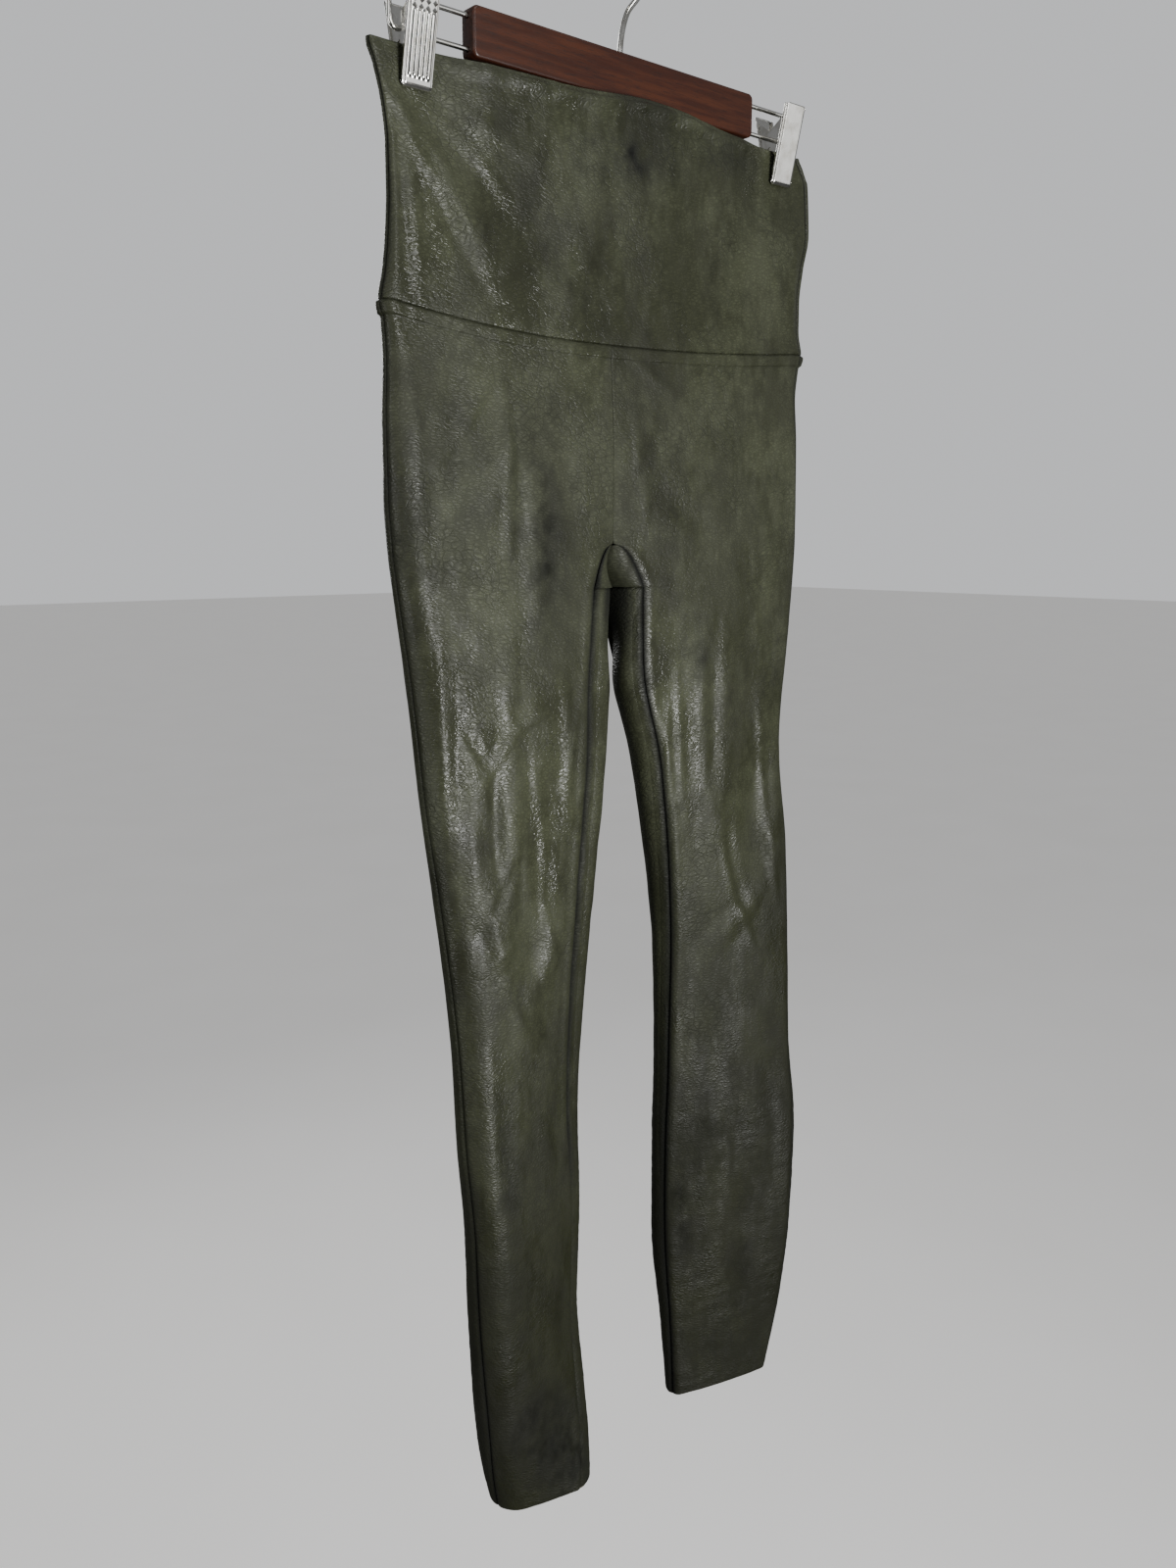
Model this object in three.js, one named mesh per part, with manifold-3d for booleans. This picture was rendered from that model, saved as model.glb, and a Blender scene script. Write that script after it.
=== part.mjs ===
// High-waist faux leather leggings, hung by the waistband from a wooden clip hanger.
//
// Millimetres, +Z up. The origin is the inside top of the hanger's hook. +X runs along the bar, to the right
// of someone facing the garment, whose front faces -Y. Left and right are as seen from the front.
//
// The garment is sewn from seven pieces: a front and a back waistband, two front legs, two back legs and a
// gusset, each a thin wall of its own. Every wall follows the same chain of points round one half of the
// garment: from the centre back, round the outer fold, across the front and, below the crotch, back again
// along the inner thigh.

import * as THREE from 'three';
import { mergeVertices } from 'three/addons/utils/BufferGeometryUtils.js';
import Module from 'manifold-3d';

const wasm = await Module();
wasm.setup();

// Driving dimensions

const SEAM_GAP = 0.3; // clear distance between two pieces that meet at a seam or a seat
const BAND_WALL = 1.6; // doubled cloth of the waistband
const LEG_WALL = 1.4; // single faux leather, at the least wall that keeps its form
const SEAM_DIP = 0.8; // how far a sewn edge sinks below the cloth beside it
const SEAM_REACH = 4; // width of the cloth that slopes into a seam

const WAIST_TOP = -102.3;
const WAIST_SEAM_SIDE = -241.6;
const WAIST_SEAM_DROP = 12; // the front seam sags by this much at its lowest point
const WAIST_SEAM_LOW_X = -42;
const WAIST_SEAM_LEFT_X = -181; // where the sag ends, beside each outseam
const WAIST_SEAM_RIGHT_X = 172;
const BACK_SEAM_DROP = 4;
const ALLOWANCE_HEIGHT = 8.4; // seam allowance pressed down under the waist seam, seen as a raised band
const ALLOWANCE_RISE = 0.9;
const CROTCH_FRONT = -382;
const CROTCH_BACK = -412;
const HEM = -1080.5;

const FRONT_CENTRE_X = -17; // the cloth has crept a little to the left across the front
const FRONT_CENTRE_X_AT_WAIST = -20;
const BACK_CENTRE_X = -4;
const CROTCH_GAP = 1.2; // half the space between the two inner thighs where they part

const TOP_RISE = 4.9; // the front edge rides up over the bar's lower edge
const TOP_RISE_X = 25;
const TOP_RISE_REACH = 85;

const BAR_LENGTH = 240.5;
const BAR_HEIGHT = 28.7;
const BAR_THICKNESS = 13;
const BAR_TOP = -71;
const BAR_CORNER = 4;
const BAR_ROUND = 2;

const HOOK_WIRE = 3.8;
const HOOK_RADIUS = 21; // to the centre of the wire
const HOOK_SEAT = 14; // length of stem inside the bar

const LOOP_WIRE = 3;
const LOOP_SPACING = 18.3; // between the upper and the lower wire
const LOOP_REACH = 173.5; // to the centre of the wire at its end
const LOOP_CORNER = 5;
const LOOP_SEAT = 9;

const CLIP_X = { left: -159.5, right: 153.5 };
const CLIP_WIDTH = 18.4;
const CLIP_TOP = -73.5;
const CLIP_BOTTOM = -125.5;
const CLIP_SHEET = 1.2;
const CLIP_FLANGE = 2.6;
const CLIP_BITE = 2.3; // half the thickness of the cloth between the jaws
const CLIP_FLUTES = 5;

// Tables of sections, from the waist down

// A table has a line of column names and a row for each height. Reading a column gives a smooth function of z.
function table(names, rows) {
  const keys = names.split(' ');
  const heights = rows.map((row) => row[0]);
  const read = {};
  keys.slice(1).forEach((key, index) => {
    read[key] = smoothCurve(heights, rows.map((row) => row[index + 1]));
  });
  return read;
}

// Hermite curve through the points, with slopes that never overshoot them.
function smoothCurve(places, values) {
  const last = places.length - 1;
  const step = places.slice(1).map((place, i) => place - places[i]);
  const rate = step.map((width, i) => (values[i + 1] - values[i]) / width);
  const slopes = values.map((_, i) => {
    if (i === 0) return rate[0];
    if (i === last) return rate[last - 1];
    const before = rate[i - 1];
    const after = rate[i];
    return before * after <= 0 ? 0 : (2 * before * after) / (before + after);
  });
  return (place) => {
    const t = THREE.MathUtils.clamp(place, places[last], places[0]);
    let i = 0;
    while (i < last - 1 && t < places[i + 1]) i += 1;
    const width = step[i];
    const s = (t - places[i]) / width;
    const keep = (1 + 2 * s) * (1 - s) ** 2;
    return keep * values[i] + (1 - keep) * values[i + 1]
      + width * s * (1 - s) * ((1 - s) * slopes[i] - s * slopes[i + 1]);
  };
}

// The body: where its side folds lie, the radius of those folds, how far the front and the back bulge
// between them, and how far each half bulges by itself where the legs begin.
const BODY = table('z left right fold front back frontLobe backLobe bulgePower', [
  [-98, -190, 176, 3.2, 10, 6, 0, 0, 1.3],
  [-104, -189, 177, 3.2, 10, 6, 0, 0, 1.3],
  [-118, -184.5, 187, 3.3, 10, 7, 0, 0, 1.3],
  [-135, -180.5, 189, 3.5, 9.5, 8, 0, 0, 1.2],
  [-155, -178.5, 190, 3.8, 9, 9, 0, 0, 1.2],
  [-180, -178.5, 184, 4.3, 9, 9, 0, 0, 1.1],
  [-205, -180, 180.5, 4.9, 8.5, 9.5, 0, 0, 1],
  [-225, -182.5, 180.5, 5.4, 8.5, 10, 0, 0, 1],
  [-243, -186, 184.5, 6, 8, 10, 0, 0, 1],
  [-252, -184.5, 181, 6.4, 8, 10, 0, 0, 1],
  [-275, -183.5, 178, 7.6, 8, 10, 0, 0, 1],
  [-310, -185, 180, 9.6, 7, 9, 1, 1, 1],
  [-350, -185, 180, 11.6, 4.5, 6, 3, 3, 1],
  [-382, -183.5, 179.5, 13, 2, 3, 4.3, 5, 1],
  [-412, -180.4, 177.5, 14, 0, 0, 5, 7, 1],
]);

// The legs: each a flattened tube with its centre, half its width along the fold line, the radius of its
// folds, the bulge of its front and back, its turn about the vertical, and the length of cloth from a fold
// round to the front, as far as the outseam and the inseam.
const LEGS = {
  left: table('z x y half fold front back turn outseam inseam', [
    [-412, -92, 0, 88.4, 14, 5, 7, 0, 1, 40],
    [-470, -91.5, 0, 81.8, 15, 6, 8, 1, 1, 40],
    [-540, -90.8, 0, 76.1, 15, 7, 8, 2, 1, 38],
    [-620, -91, -1, 67.6, 15, 7, 8, 5, 1, 38],
    [-700, -91.4, -2, 61.2, 15, 6, 7, 10, 0, 38],
    [-780, -93.3, -3, 58, 15, 6, 7, 14, 0, 36],
    [-860, -90.6, -4, 57.3, 16, 6, 7, 17, 0, 34],
    [-940, -92.6, -6, 53.3, 16, 6, 6, 16, 2, 32],
    [-1010, -88.9, -8, 49.1, 17, 4, 5, 7, 6, 30],
    [-1082, -82.7, -10, 39.6, 19, 2, 2, -16, 9, 26],
  ]),
  right: table('z x y half fold front back turn outseam inseam', [
    [-412, 87.2, 0, 90.3, 14, 5, 7, 0, 16, 23],
    [-470, 85.5, 0, 85.1, 15, 6, 8, -1, 16, 22],
    [-540, 93, 0, 71.7, 15, 7, 8, -2, 15, 20],
    [-620, 104.8, -1, 66.8, 14, 7, 8, -6, 14, 17],
    [-700, 111, -2, 62.4, 13, 6, 7, -12, 13, 15],
    [-780, 113.3, -3, 61.1, 12, 6, 7, -16, 12, 13],
    [-860, 116.5, -4, 64.2, 12, 6, 7, -19, 12, 13],
    [-940, 114, -6, 62.4, 12, 5, 6, -20, 11, 13],
    [-1010, 113, -8, 56.4, 10, 4, 5, -18, 9, 10],
    [-1082, 108.2, -9, 47.3, 8.5, 3, 3, -15, 7, 6],
  ]),
};

// Where the body's outseams lie above the crotch, as a length of cloth from the fold.
const BODY_OUTSEAM = { left: 1, right: smoothCurve([-98, -243, -412], [6, 9, 16]) };

// The largest folds: a ridge (above 0) or a trough (below 0) between two points of the front or the back,
// in the x and z of the hung garment, with its height and its half width.
const FOLDS = [
  ['front', -146, -136, -92, -195, -1.8, 13],
  ['front', -160, -150, -118, -210, 1.8, 9],
  ['front', 140, -130, 84, -200, -1.5, 13],
  ['front', -130, -370, -92, -300, 1.6, 11],
  ['front', -88, -330, -86, -440, 1.4, 9],
  ['front', 20, -345, 74, -375, -1.2, 10],
  ['front', -118, -560, -128, -700, 2.2, 11],
  ['front', -80, -540, -96, -690, -1.8, 11],
  ['front', -104, -700, -70, -640, 1.8, 10],
  ['front', 62, -480, 88, -650, 1.8, 12],
  ['front', 118, -520, 132, -680, -1.8, 12],
  ['front', 84, -690, 132, -650, 1.6, 10],
  ['back', 130, -130, 70, -215, -1.8, 14],
  ['back', -140, -128, -80, -205, -1.6, 14],
  ['back', -60, -300, -95, -400, 1.6, 12],
  ['back', 70, -300, 96, -400, -1.6, 12],
  ['back', -30, -440, -70, -560, -2, 12],
  ['back', 46, -440, 88, -560, 1.8, 12],
  ['back', -110, -640, -70, -700, 2, 11],
  ['back', 92, -650, 136, -700, -2, 11],
];

const SIDES = { left: -1, right: 1 };

// Small helpers

const lerp = THREE.MathUtils.lerp;
const smoothstep = (value, from, to) => THREE.MathUtils.smoothstep(value, from, to);
const bell = (value, reach) => {
  return Math.abs(value) < reach ? Math.cos((value / reach) * (Math.PI / 2)) ** 2 : 0;
};

// How firmly the clips press the cloth flat at a place: 1 between the jaws, 0 far from them.
function clipPinch(x, z) {
  const down = 1 - smoothstep(-z, -CLIP_BOTTOM + 4, -CLIP_BOTTOM + 46);
  const across = Math.max(...Object.values(CLIP_X).map((centre) => {
    return 1 - smoothstep(Math.abs(x - centre), CLIP_WIDTH / 2 + 3, CLIP_WIDTH / 2 + 42);
  }));
  return down * across;
}

function foldHeight(face, x, z) {
  let height = 0;
  for (const [side, x0, z0, x1, z1, rise, reach] of FOLDS) {
    if (side !== face) continue;
    const run = new THREE.Vector2(x1 - x0, z1 - z0);
    const t = ((x - x0) * run.x + (z - z0) * run.y) / run.lengthSq();
    const along = THREE.MathUtils.clamp(t, 0, 1);
    const off = Math.hypot(x - x0 - along * run.x, z - z0 - along * run.y);
    height += rise * bell(off, reach * 1.6) * (0.4 + 0.6 * bell(2 * t - 1, 1.4));
  }
  return height;
}

// A chain of points in a level plane, read by the length along it.
class Chain {
  constructor(points, side) {
    this.points = points;
    this.side = side;
    this.lengths = [0];
    for (let i = 1; i < points.length; i += 1) {
      this.lengths.push(this.lengths[i - 1] + points[i].distanceTo(points[i - 1]));
    }
    this.total = this.lengths[this.lengths.length - 1];
  }

  point(length) {
    const at = THREE.MathUtils.clamp(length, 0, this.total);
    let i = 1;
    while (i < this.points.length - 1 && this.lengths[i] < at) i += 1;
    const span = this.lengths[i] - this.lengths[i - 1];
    return this.points[i - 1].clone().lerp(this.points[i], span ? (at - this.lengths[i - 1]) / span : 0);
  }

  // The level direction that points out of the garment.
  normal(length) {
    const reach = 1.5;
    const run = this.point(length + reach).sub(this.point(length - reach)).normalize();
    return new THREE.Vector2(-run.y, run.x).multiplyScalar(this.side);
  }
}

// The half of the body on one side, above the crotch, from the centre back to the centre front or, where
// the arch between the legs has opened, to its edge.
function bodyChain(name, z) {
  const side = SIDES[name];
  const outer = BODY[name](z);
  const middle = (BODY.left(z) + BODY.right(z)) / 2;
  const half = (BODY.right(z) - BODY.left(z)) / 2;
  const fold = BODY.fold(z);
  const frontSplit = frontSplitX(z);
  const thickness = (x, bulge, lobe, split) => {
    const wide = Math.max(0, 1 - ((x - middle) / half) ** 2) ** BODY.bulgePower(z);
    const centre = (outer + split) / 2;
    const narrow = Math.max(0, 1 - ((x - centre) / ((outer - split) / 2)) ** 2);
    const fromFold = Math.min(1, Math.abs(outer - x) / fold);
    const edge = fold * Math.sqrt(Math.max(0, 1 - (1 - fromFold) ** 2));
    const full = edge + wide * bulge + narrow * lobe;
    return lerp(full, Math.min(full, CLIP_BITE), clipPinch(x, z));
  };
  const line = (end, sign, bulge, lobe, split) => {
    const points = [];
    for (let i = 1; i <= 8; i += 1) {
      const x = outer - side * fold * (1 - Math.cos((i / 8) * (Math.PI / 2)));
      points.push(new THREE.Vector2(x, sign * thickness(x, bulge, lobe, split)));
    }
    const start = outer - side * fold;
    for (let i = 1; i <= 30; i += 1) {
      const x = lerp(start, end, i / 30);
      points.push(new THREE.Vector2(x, sign * thickness(x, bulge, lobe, split)));
    }
    return points;
  };
  const back = line(BACK_CENTRE_X, 1, BODY.back(z), BODY.backLobe(z), BACK_CENTRE_X);
  const front = line(frontEndX(name, z), -1, BODY.front(z), BODY.frontLobe(z), frontSplit);
  const chain = new Chain([...back.reverse(), new THREE.Vector2(outer, 0), ...front], side);
  const atFold = new THREE.Vector2(outer, 0);
  chain.fold = new Chain(back, side).total + back[back.length - 1].distanceTo(atFold);
  const outseam = BODY_OUTSEAM[name];
  chain.outseam = chain.fold + (typeof outseam === 'number' ? outseam : outseam(z));
  chain.inseam = chain.total;
  return chain;
}

function frontSplitX(z) {
  if (z < CROTCH_FRONT) {
    const below = (CROTCH_FRONT - z) / (CROTCH_FRONT - CROTCH_BACK);
    return lerp(FRONT_CENTRE_X, BACK_CENTRE_X, below);
  }
  const above = (z - CROTCH_FRONT) / (WAIST_SEAM_SIDE - CROTCH_FRONT);
  return lerp(FRONT_CENTRE_X, FRONT_CENTRE_X_AT_WAIST, above);
}

// The centre front above the crotch, and below it the edge of the arch, which opens as a round arch does.
function frontEndX(name, z) {
  if (z >= CROTCH_FRONT) return frontSplitX(z);
  const opened = Math.sqrt(Math.min(1, (CROTCH_FRONT - z) / (CROTCH_FRONT - CROTCH_BACK)));
  return lerp(FRONT_CENTRE_X, ARCH_FOOT[name].x, opened);
}

// The whole ring of one leg, from its inner back corner round the outer fold and the front to the inseam,
// and along the inner thigh to the corner again.
function legChain(name, z) {
  const side = SIDES[name];
  const leg = LEGS[name];
  const half = leg.half(z);
  const fold = leg.fold(z);
  const straight = half - fold;
  const turn = THREE.MathUtils.degToRad(leg.turn(z));
  const centre = new THREE.Vector2(leg.x(z), leg.y(z));
  const place = (out, depth) => {
    const bulge = Math.max(0, 1 - (out / half) ** 2) * (depth > 0 ? leg.back(z) : leg.front(z));
    const local = new THREE.Vector2(side * out, depth + Math.sign(depth) * bulge);
    return local.rotateAround(new THREE.Vector2(), turn).add(centre);
  };
  const arc = (from, to, at, steps) => Array.from({ length: steps + 1 }, (_, i) => {
    const angle = lerp(from, to, i / steps);
    return place(at + fold * Math.cos(angle), fold * Math.sin(angle));
  });
  const face = (from, to, depth, steps) => Array.from({ length: steps - 1 }, (_, i) => {
    return place(lerp(from, to, (i + 1) / steps), depth);
  });
  const quarter = Math.PI / 2;
  const outerBack = arc(quarter, 0, straight, 10);
  const outerFront = arc(0, -quarter, straight, 10).slice(1);
  const backFace = [place(-straight, fold), ...face(-straight, straight, fold, 30)];
  const frontFace = face(straight, -straight, -fold, 30);
  const innerFront = arc(-quarter, -2 * quarter, -straight, 10);
  const innerBack = arc(-2 * quarter, -3 * quarter, -straight, 10).slice(1);

  const toFold = new Chain([...backFace, ...outerBack], side).total;
  const toInner = new Chain([...backFace, ...outerBack, ...outerFront, ...frontFace, ...innerFront], side);
  const ring = new Chain([...toInner.points, ...innerBack], side);
  const inseam = toInner.total - leg.inseam(z);
  const settled = smoothstep(CROTCH_BACK - z, 0, 75);
  const foot = ring.point(inseam);
  const corner = backFace[0].clone();
  const apexX = BACK_CENTRE_X + side * CROTCH_GAP;
  const moved = new THREE.Vector2(apexX, leg.y(z) + fold).lerp(corner, settled);
  const inner = Array.from({ length: 25 }, (_, i) => {
    const t = i / 24;
    const round = ring.point(lerp(inseam, ring.total, t));
    return archPoint(moved, foot, 1 - t).lerp(round, settled);
  });
  const outerPart = ring.points.filter((_, i) => ring.lengths[i] < inseam - 0.5);
  outerPart[0] = moved;
  const chain = new Chain([...outerPart, ...inner], side);
  chain.fold = toFold + (chain.lengths[outerPart.length - 1] - ring.lengths[outerPart.length - 1]);
  chain.outseam = chain.fold + leg.outseam(z);
  chain.inseam = chain.lengths[outerPart.length];
  return chain;
}

// A quarter wave from the top of the arch (t = 0), along the inner thigh, to the arch's edge (t = 1).
function archPoint(top, edge, t) {
  const angle = t * (Math.PI / 2);
  return new THREE.Vector2(
    top.x + (edge.x - top.x) * (1 - Math.cos(angle)),
    top.y + (edge.y - top.y) * Math.sin(angle),
  );
}

const ARCH_FOOT = {};
for (const name of Object.keys(SIDES)) {
  const chain = legChain(name, CROTCH_BACK);
  ARCH_FOOT[name] = chain.point(chain.inseam);
}

const chainAt = (name, z) => (z >= CROTCH_BACK ? bodyChain(name, z) : legChain(name, z));

// Height of the waist seam and of the waistband's top edge at a place across the front or the back.
function waistSeam(face, x) {
  if (face === 'back') return WAIST_SEAM_SIDE - BACK_SEAM_DROP * bell(x, WAIST_SEAM_RIGHT_X);
  const end = x < WAIST_SEAM_LOW_X ? WAIST_SEAM_LEFT_X : WAIST_SEAM_RIGHT_X;
  const reach = Math.abs(end - WAIST_SEAM_LOW_X);
  return WAIST_SEAM_SIDE - WAIST_SEAM_DROP * Math.max(0, 1 - ((x - WAIST_SEAM_LOW_X) / reach) ** 2);
}

function waistTop(face, x) {
  return face === 'back' ? WAIST_TOP : WAIST_TOP + TOP_RISE * bell(x - TOP_RISE_X, TOP_RISE_REACH);
}

// Walls of cloth

// A point on the cloth and on its inner face. `length` is measured along the chain at height z, and `rise`
// lifts the outer face only.
function clothPoint(name, z, length, wall, dip, rise = 0) {
  const chain = chainAt(name, z);
  const at = chain.point(length);
  const normal = chain.normal(length);
  const face = normal.y < 0 ? 'front' : 'back';
  const lift = foldHeight(face, at.x, z) * smoothstep(Math.abs(normal.y), 0.3, 0.9) - dip;
  const outer = at.clone().addScaledVector(normal, lift + rise);
  const inner = at.clone().addScaledVector(normal, lift - wall);
  return {
    outer: new THREE.Vector3(outer.x, outer.y, z),
    inner: new THREE.Vector3(inner.x, inner.y, z),
  };
}

// Closes rows of cloth points into one wall. A missing point (null) leaves its cells out.
function wallGeometry(rows) {
  const positions = [];
  const ids = rows.map((row) => row.map((point) => {
    if (!point) return -1;
    positions.push(...point.outer.toArray(), ...point.inner.toArray());
    return positions.length / 3 - 2;
  }));
  const cell = (r, c) => {
    const corners = [ids[r]?.[c], ids[r]?.[c + 1], ids[r + 1]?.[c + 1], ids[r + 1]?.[c]];
    return corners.every((id) => id >= 0) ? corners : null;
  };
  const index = [];
  const quad = (a, b, c, d) => index.push(a, b, c, a, c, d);
  for (let r = 0; r < rows.length - 1; r += 1) {
    for (let c = 0; c < rows[0].length - 1; c += 1) {
      const corners = cell(r, c);
      if (!corners) continue;
      const [a, b, d, e] = corners;
      quad(a, b, d, e);
      quad(e + 1, d + 1, b + 1, a + 1);
      if (!cell(r - 1, c)) quad(b, a, a + 1, b + 1);
      if (!cell(r + 1, c)) quad(e, d, d + 1, e + 1);
      if (!cell(r, c - 1)) quad(a, e, e + 1, a + 1);
      if (!cell(r, c + 1)) quad(d, b, b + 1, d + 1);
    }
  }
  const geometry = new THREE.BufferGeometry();
  geometry.setAttribute('position', new THREE.Float32BufferAttribute(positions, 3));
  geometry.setIndex(index);
  return facingOut(geometry);
}

function facingOut(geometry) {
  const position = geometry.getAttribute('position');
  const corner = (i) => new THREE.Vector3().fromBufferAttribute(position, geometry.index.getX(i));
  let volume = 0;
  for (let i = 0; i < geometry.index.count; i += 3) {
    volume += corner(i).dot(corner(i + 1).cross(corner(i + 2)));
  }
  if (volume < 0) {
    const turned = geometry.index.array;
    for (let i = 0; i < turned.length; i += 3) [turned[i], turned[i + 1]] = [turned[i + 1], turned[i]];
  }
  geometry.computeVertexNormals();
  return geometry;
}

// Lengths from one seam to another: close together beside each seam and round a fold, even between.
function spacing(from, to, near, count, far) {
  const sign = Math.sign(to - from);
  const start = [SEAM_GAP / 2, ...near].map((length) => from + sign * length);
  const end = [...far, SEAM_GAP / 2].map((length) => to - sign * length);
  const first = start[start.length - 1];
  const last = end[0];
  const between = Array.from({ length: count }, (_, i) => lerp(first, last, (i + 1) / (count + 1)));
  return [...start, ...between, ...end];
}

const WAIST_LEVELS = [0, 0.02, 0.12, 0.25, 0.4, 0.55, 0.72, 0.87, 0.97, 1];
const ALLOWANCE_LEVELS = [0, 1.2, ALLOWANCE_HEIGHT, ALLOWANCE_HEIGHT + 1.6];
const HIP_LEVELS = [-278, -300, -325, -348, -367, CROTCH_FRONT];
const ARCH_LEVELS = [-383.5, -387, -392.5, -401, CROTCH_BACK];
const KNEE_TO_HEM = Array.from({ length: 12 }, (_, i) => lerp(-498, -1048, i / 11));
const LEG_LEVELS = [CROTCH_BACK - SEAM_GAP, -424, -442, -468, ...KNEE_TO_HEM, HEM + SEAM_REACH, HEM];

// The front or back of the waistband, from one side seam to the other.
function waistband(face) {
  const halves = { left: [], right: [] };
  for (const name of Object.keys(SIDES)) {
    for (const level of WAIST_LEVELS) {
      const row = [];
      const guide = bodyChain(name, lerp(WAIST_TOP, WAIST_SEAM_SIDE, level));
      const count = waistLengths(guide, face).length;
      for (let c = 0; c < count; c += 1) {
        const x = guide.point(waistLengths(guide, face)[c]).x;
        const z = lerp(waistTop(face, x), waistSeam(face, x) + SEAM_GAP / 2, level);
        const chain = bodyChain(name, z);
        const dip = level === 1 || c === 0 ? SEAM_DIP : 0;
        row.push(clothPoint(name, z, waistLengths(chain, face)[c], BAND_WALL, dip));
      }
      halves[name].push(row);
    }
  }
  const rows = halves.left.map((row, r) => [...row, ...halves.right[r].slice(0, -1).reverse()]);
  return wallGeometry(rows);
}

// Places of the columns on one half of the waistband, from the side seam to the centre.
function waistLengths(chain, face) {
  const end = face === 'front' ? chain.total : 0;
  const lengths = spacing(chain.outseam, end, face === 'front' ? [4, 10, 20] : [4, 8, 13, 20, 30], 5, [20]);
  lengths[lengths.length - 1] = end;
  return lengths;
}

// Heights of a leg panel's rows at a column: they follow the sagging waist seam at the top and are level
// from the crotch down.
function panelLevels(face, x) {
  const seam = waistSeam(face, x) - SEAM_GAP / 2;
  const allowance = ALLOWANCE_LEVELS.map((down) => seam - down);
  const sag = (z) => (seam - WAIST_SEAM_SIDE) * smoothstep(z, -340, -262);
  return [...allowance, ...HIP_LEVELS.map((z) => z + sag(z)), ...ARCH_LEVELS, ...LEG_LEVELS];
}

const ARCH_START = ALLOWANCE_LEVELS.length + HIP_LEVELS.length;
const LEG_START = ARCH_START + ARCH_LEVELS.length;

function allowanceRise(row) {
  return row === 1 || row === 2 ? ALLOWANCE_RISE : 0;
}

// A panel from its outseam to the centre seam or inseam. `lengthsOf` gives the places of its columns on a
// chain, or null for a column that the chain doesn't have.
function legPanel(name, face, lengthsOf) {
  const rowCount = LEG_START + LEG_LEVELS.length;
  const rows = [];
  for (let r = 0; r < rowCount; r += 1) {
    const nominal = panelLevels(face, 0)[r];
    const guide = lengthsOf(chainAt(name, nominal), r);
    rows.push(guide.map((length, c) => {
      if (length === null) return null;
      const x = chainAt(name, nominal).point(length).x;
      const z = panelLevels(face, x)[r];
      const place = lengthsOf(chainAt(name, z), r)[c];
      const last = guide.findLastIndex((value) => value !== null);
      const sewn = r === 0 || c === 0 || c === last;
      return clothPoint(name, z, place, LEG_WALL, sewn ? SEAM_DIP : 0, sewn ? 0 : allowanceRise(r));
    }));
  }
  return wallGeometry(rows);
}

function frontLengths(chain) {
  return spacing(chain.outseam, chain.inseam, [4, 10, 18, 28], 6, [12, 4]);
}

const BACK_INNER_COLUMNS = 6;

// The back wraps round the outer fold and, below the crotch, round the inner one as far as the inseam.
function backLengths(chain, row) {
  const across = spacing(chain.outseam, 0, [4, 10, 17, 26, 37], 5, [12, 4]);
  if (row < LEG_START) return [...across, ...Array(BACK_INNER_COLUMNS).fill(null)];
  const inner = Array.from({ length: BACK_INNER_COLUMNS }, (_, i) => {
    const share = (i + 1) / BACK_INNER_COLUMNS;
    return lerp(chain.total, chain.inseam, share) + (i === BACK_INNER_COLUMNS - 1 ? SEAM_GAP / 2 : 0);
  });
  return [...across.slice(0, -1), 0, ...inner];
}

// The gusset under the crotch, a half cone whose ridge runs from the front down to the back.
function gusset() {
  const steps = 7;
  const ridgeBack = 9.8; // just inside the back panels
  const rows = ARCH_LEVELS.map((z) => {
    const share = (CROTCH_FRONT - z) / (CROTCH_FRONT - CROTCH_BACK);
    const edges = {};
    for (const [name, side] of Object.entries(SIDES)) {
      const chain = bodyChain(name, z);
      edges[name] = chain.point(chain.total - SEAM_GAP / 2);
      edges[name].x = frontEndX(name, z) - side * SEAM_GAP / 2;
    }
    const frontY = (edges.left.y + edges.right.y) / 2;
    const topX = lerp(FRONT_CENTRE_X, BACK_CENTRE_X, share);
    const top = new THREE.Vector2(topX, lerp(frontY, ridgeBack, share));
    const level = z === CROTCH_BACK ? z + SEAM_GAP / 2 : z;
    const branch = (name) => Array.from({ length: steps }, (_, i) => {
      const t = (i + 1) / steps;
      const at = archPoint(top, edges[name], t);
      const near = archPoint(top, edges[name], t - 0.04);
      const run = at.clone().sub(near).normalize();
      const normal = new THREE.Vector2(run.y, -run.x).multiplyScalar(SIDES[name]);
      return gussetPoint(at, i === steps - 1 ? new THREE.Vector2(0, -1) : normal, level);
    });
    const ridge = gussetPoint(top, new THREE.Vector2(0, -1), level);
    return [...branch('left').reverse(), ridge, ...branch('right')];
  });
  return wallGeometry(rows);
}

function gussetPoint(at, normal, z) {
  const inner = at.clone().addScaledVector(normal, -LEG_WALL);
  return { outer: new THREE.Vector3(at.x, at.y, z), inner: new THREE.Vector3(inner.x, inner.y, z) };
}

// Solids that are joined and cut

function toSolid(geometry) {
  const bare = geometry.clone();
  bare.deleteAttribute('normal');
  bare.deleteAttribute('uv');
  const merged = mergeVertices(bare, 1e-4);
  return new wasm.Manifold(new wasm.Mesh({
    numProp: 3,
    vertProperties: new Float32Array(merged.getAttribute('position').array),
    triVerts: new Uint32Array(merged.index.array),
  }));
}

function toGeometry(solid) {
  const { vertProperties, triVerts } = solid.getMesh();
  const geometry = new THREE.BufferGeometry();
  geometry.setAttribute('position', new THREE.Float32BufferAttribute(vertProperties, 3));
  geometry.setIndex([...triVerts]);
  geometry.computeVertexNormals();
  return geometry;
}

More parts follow.
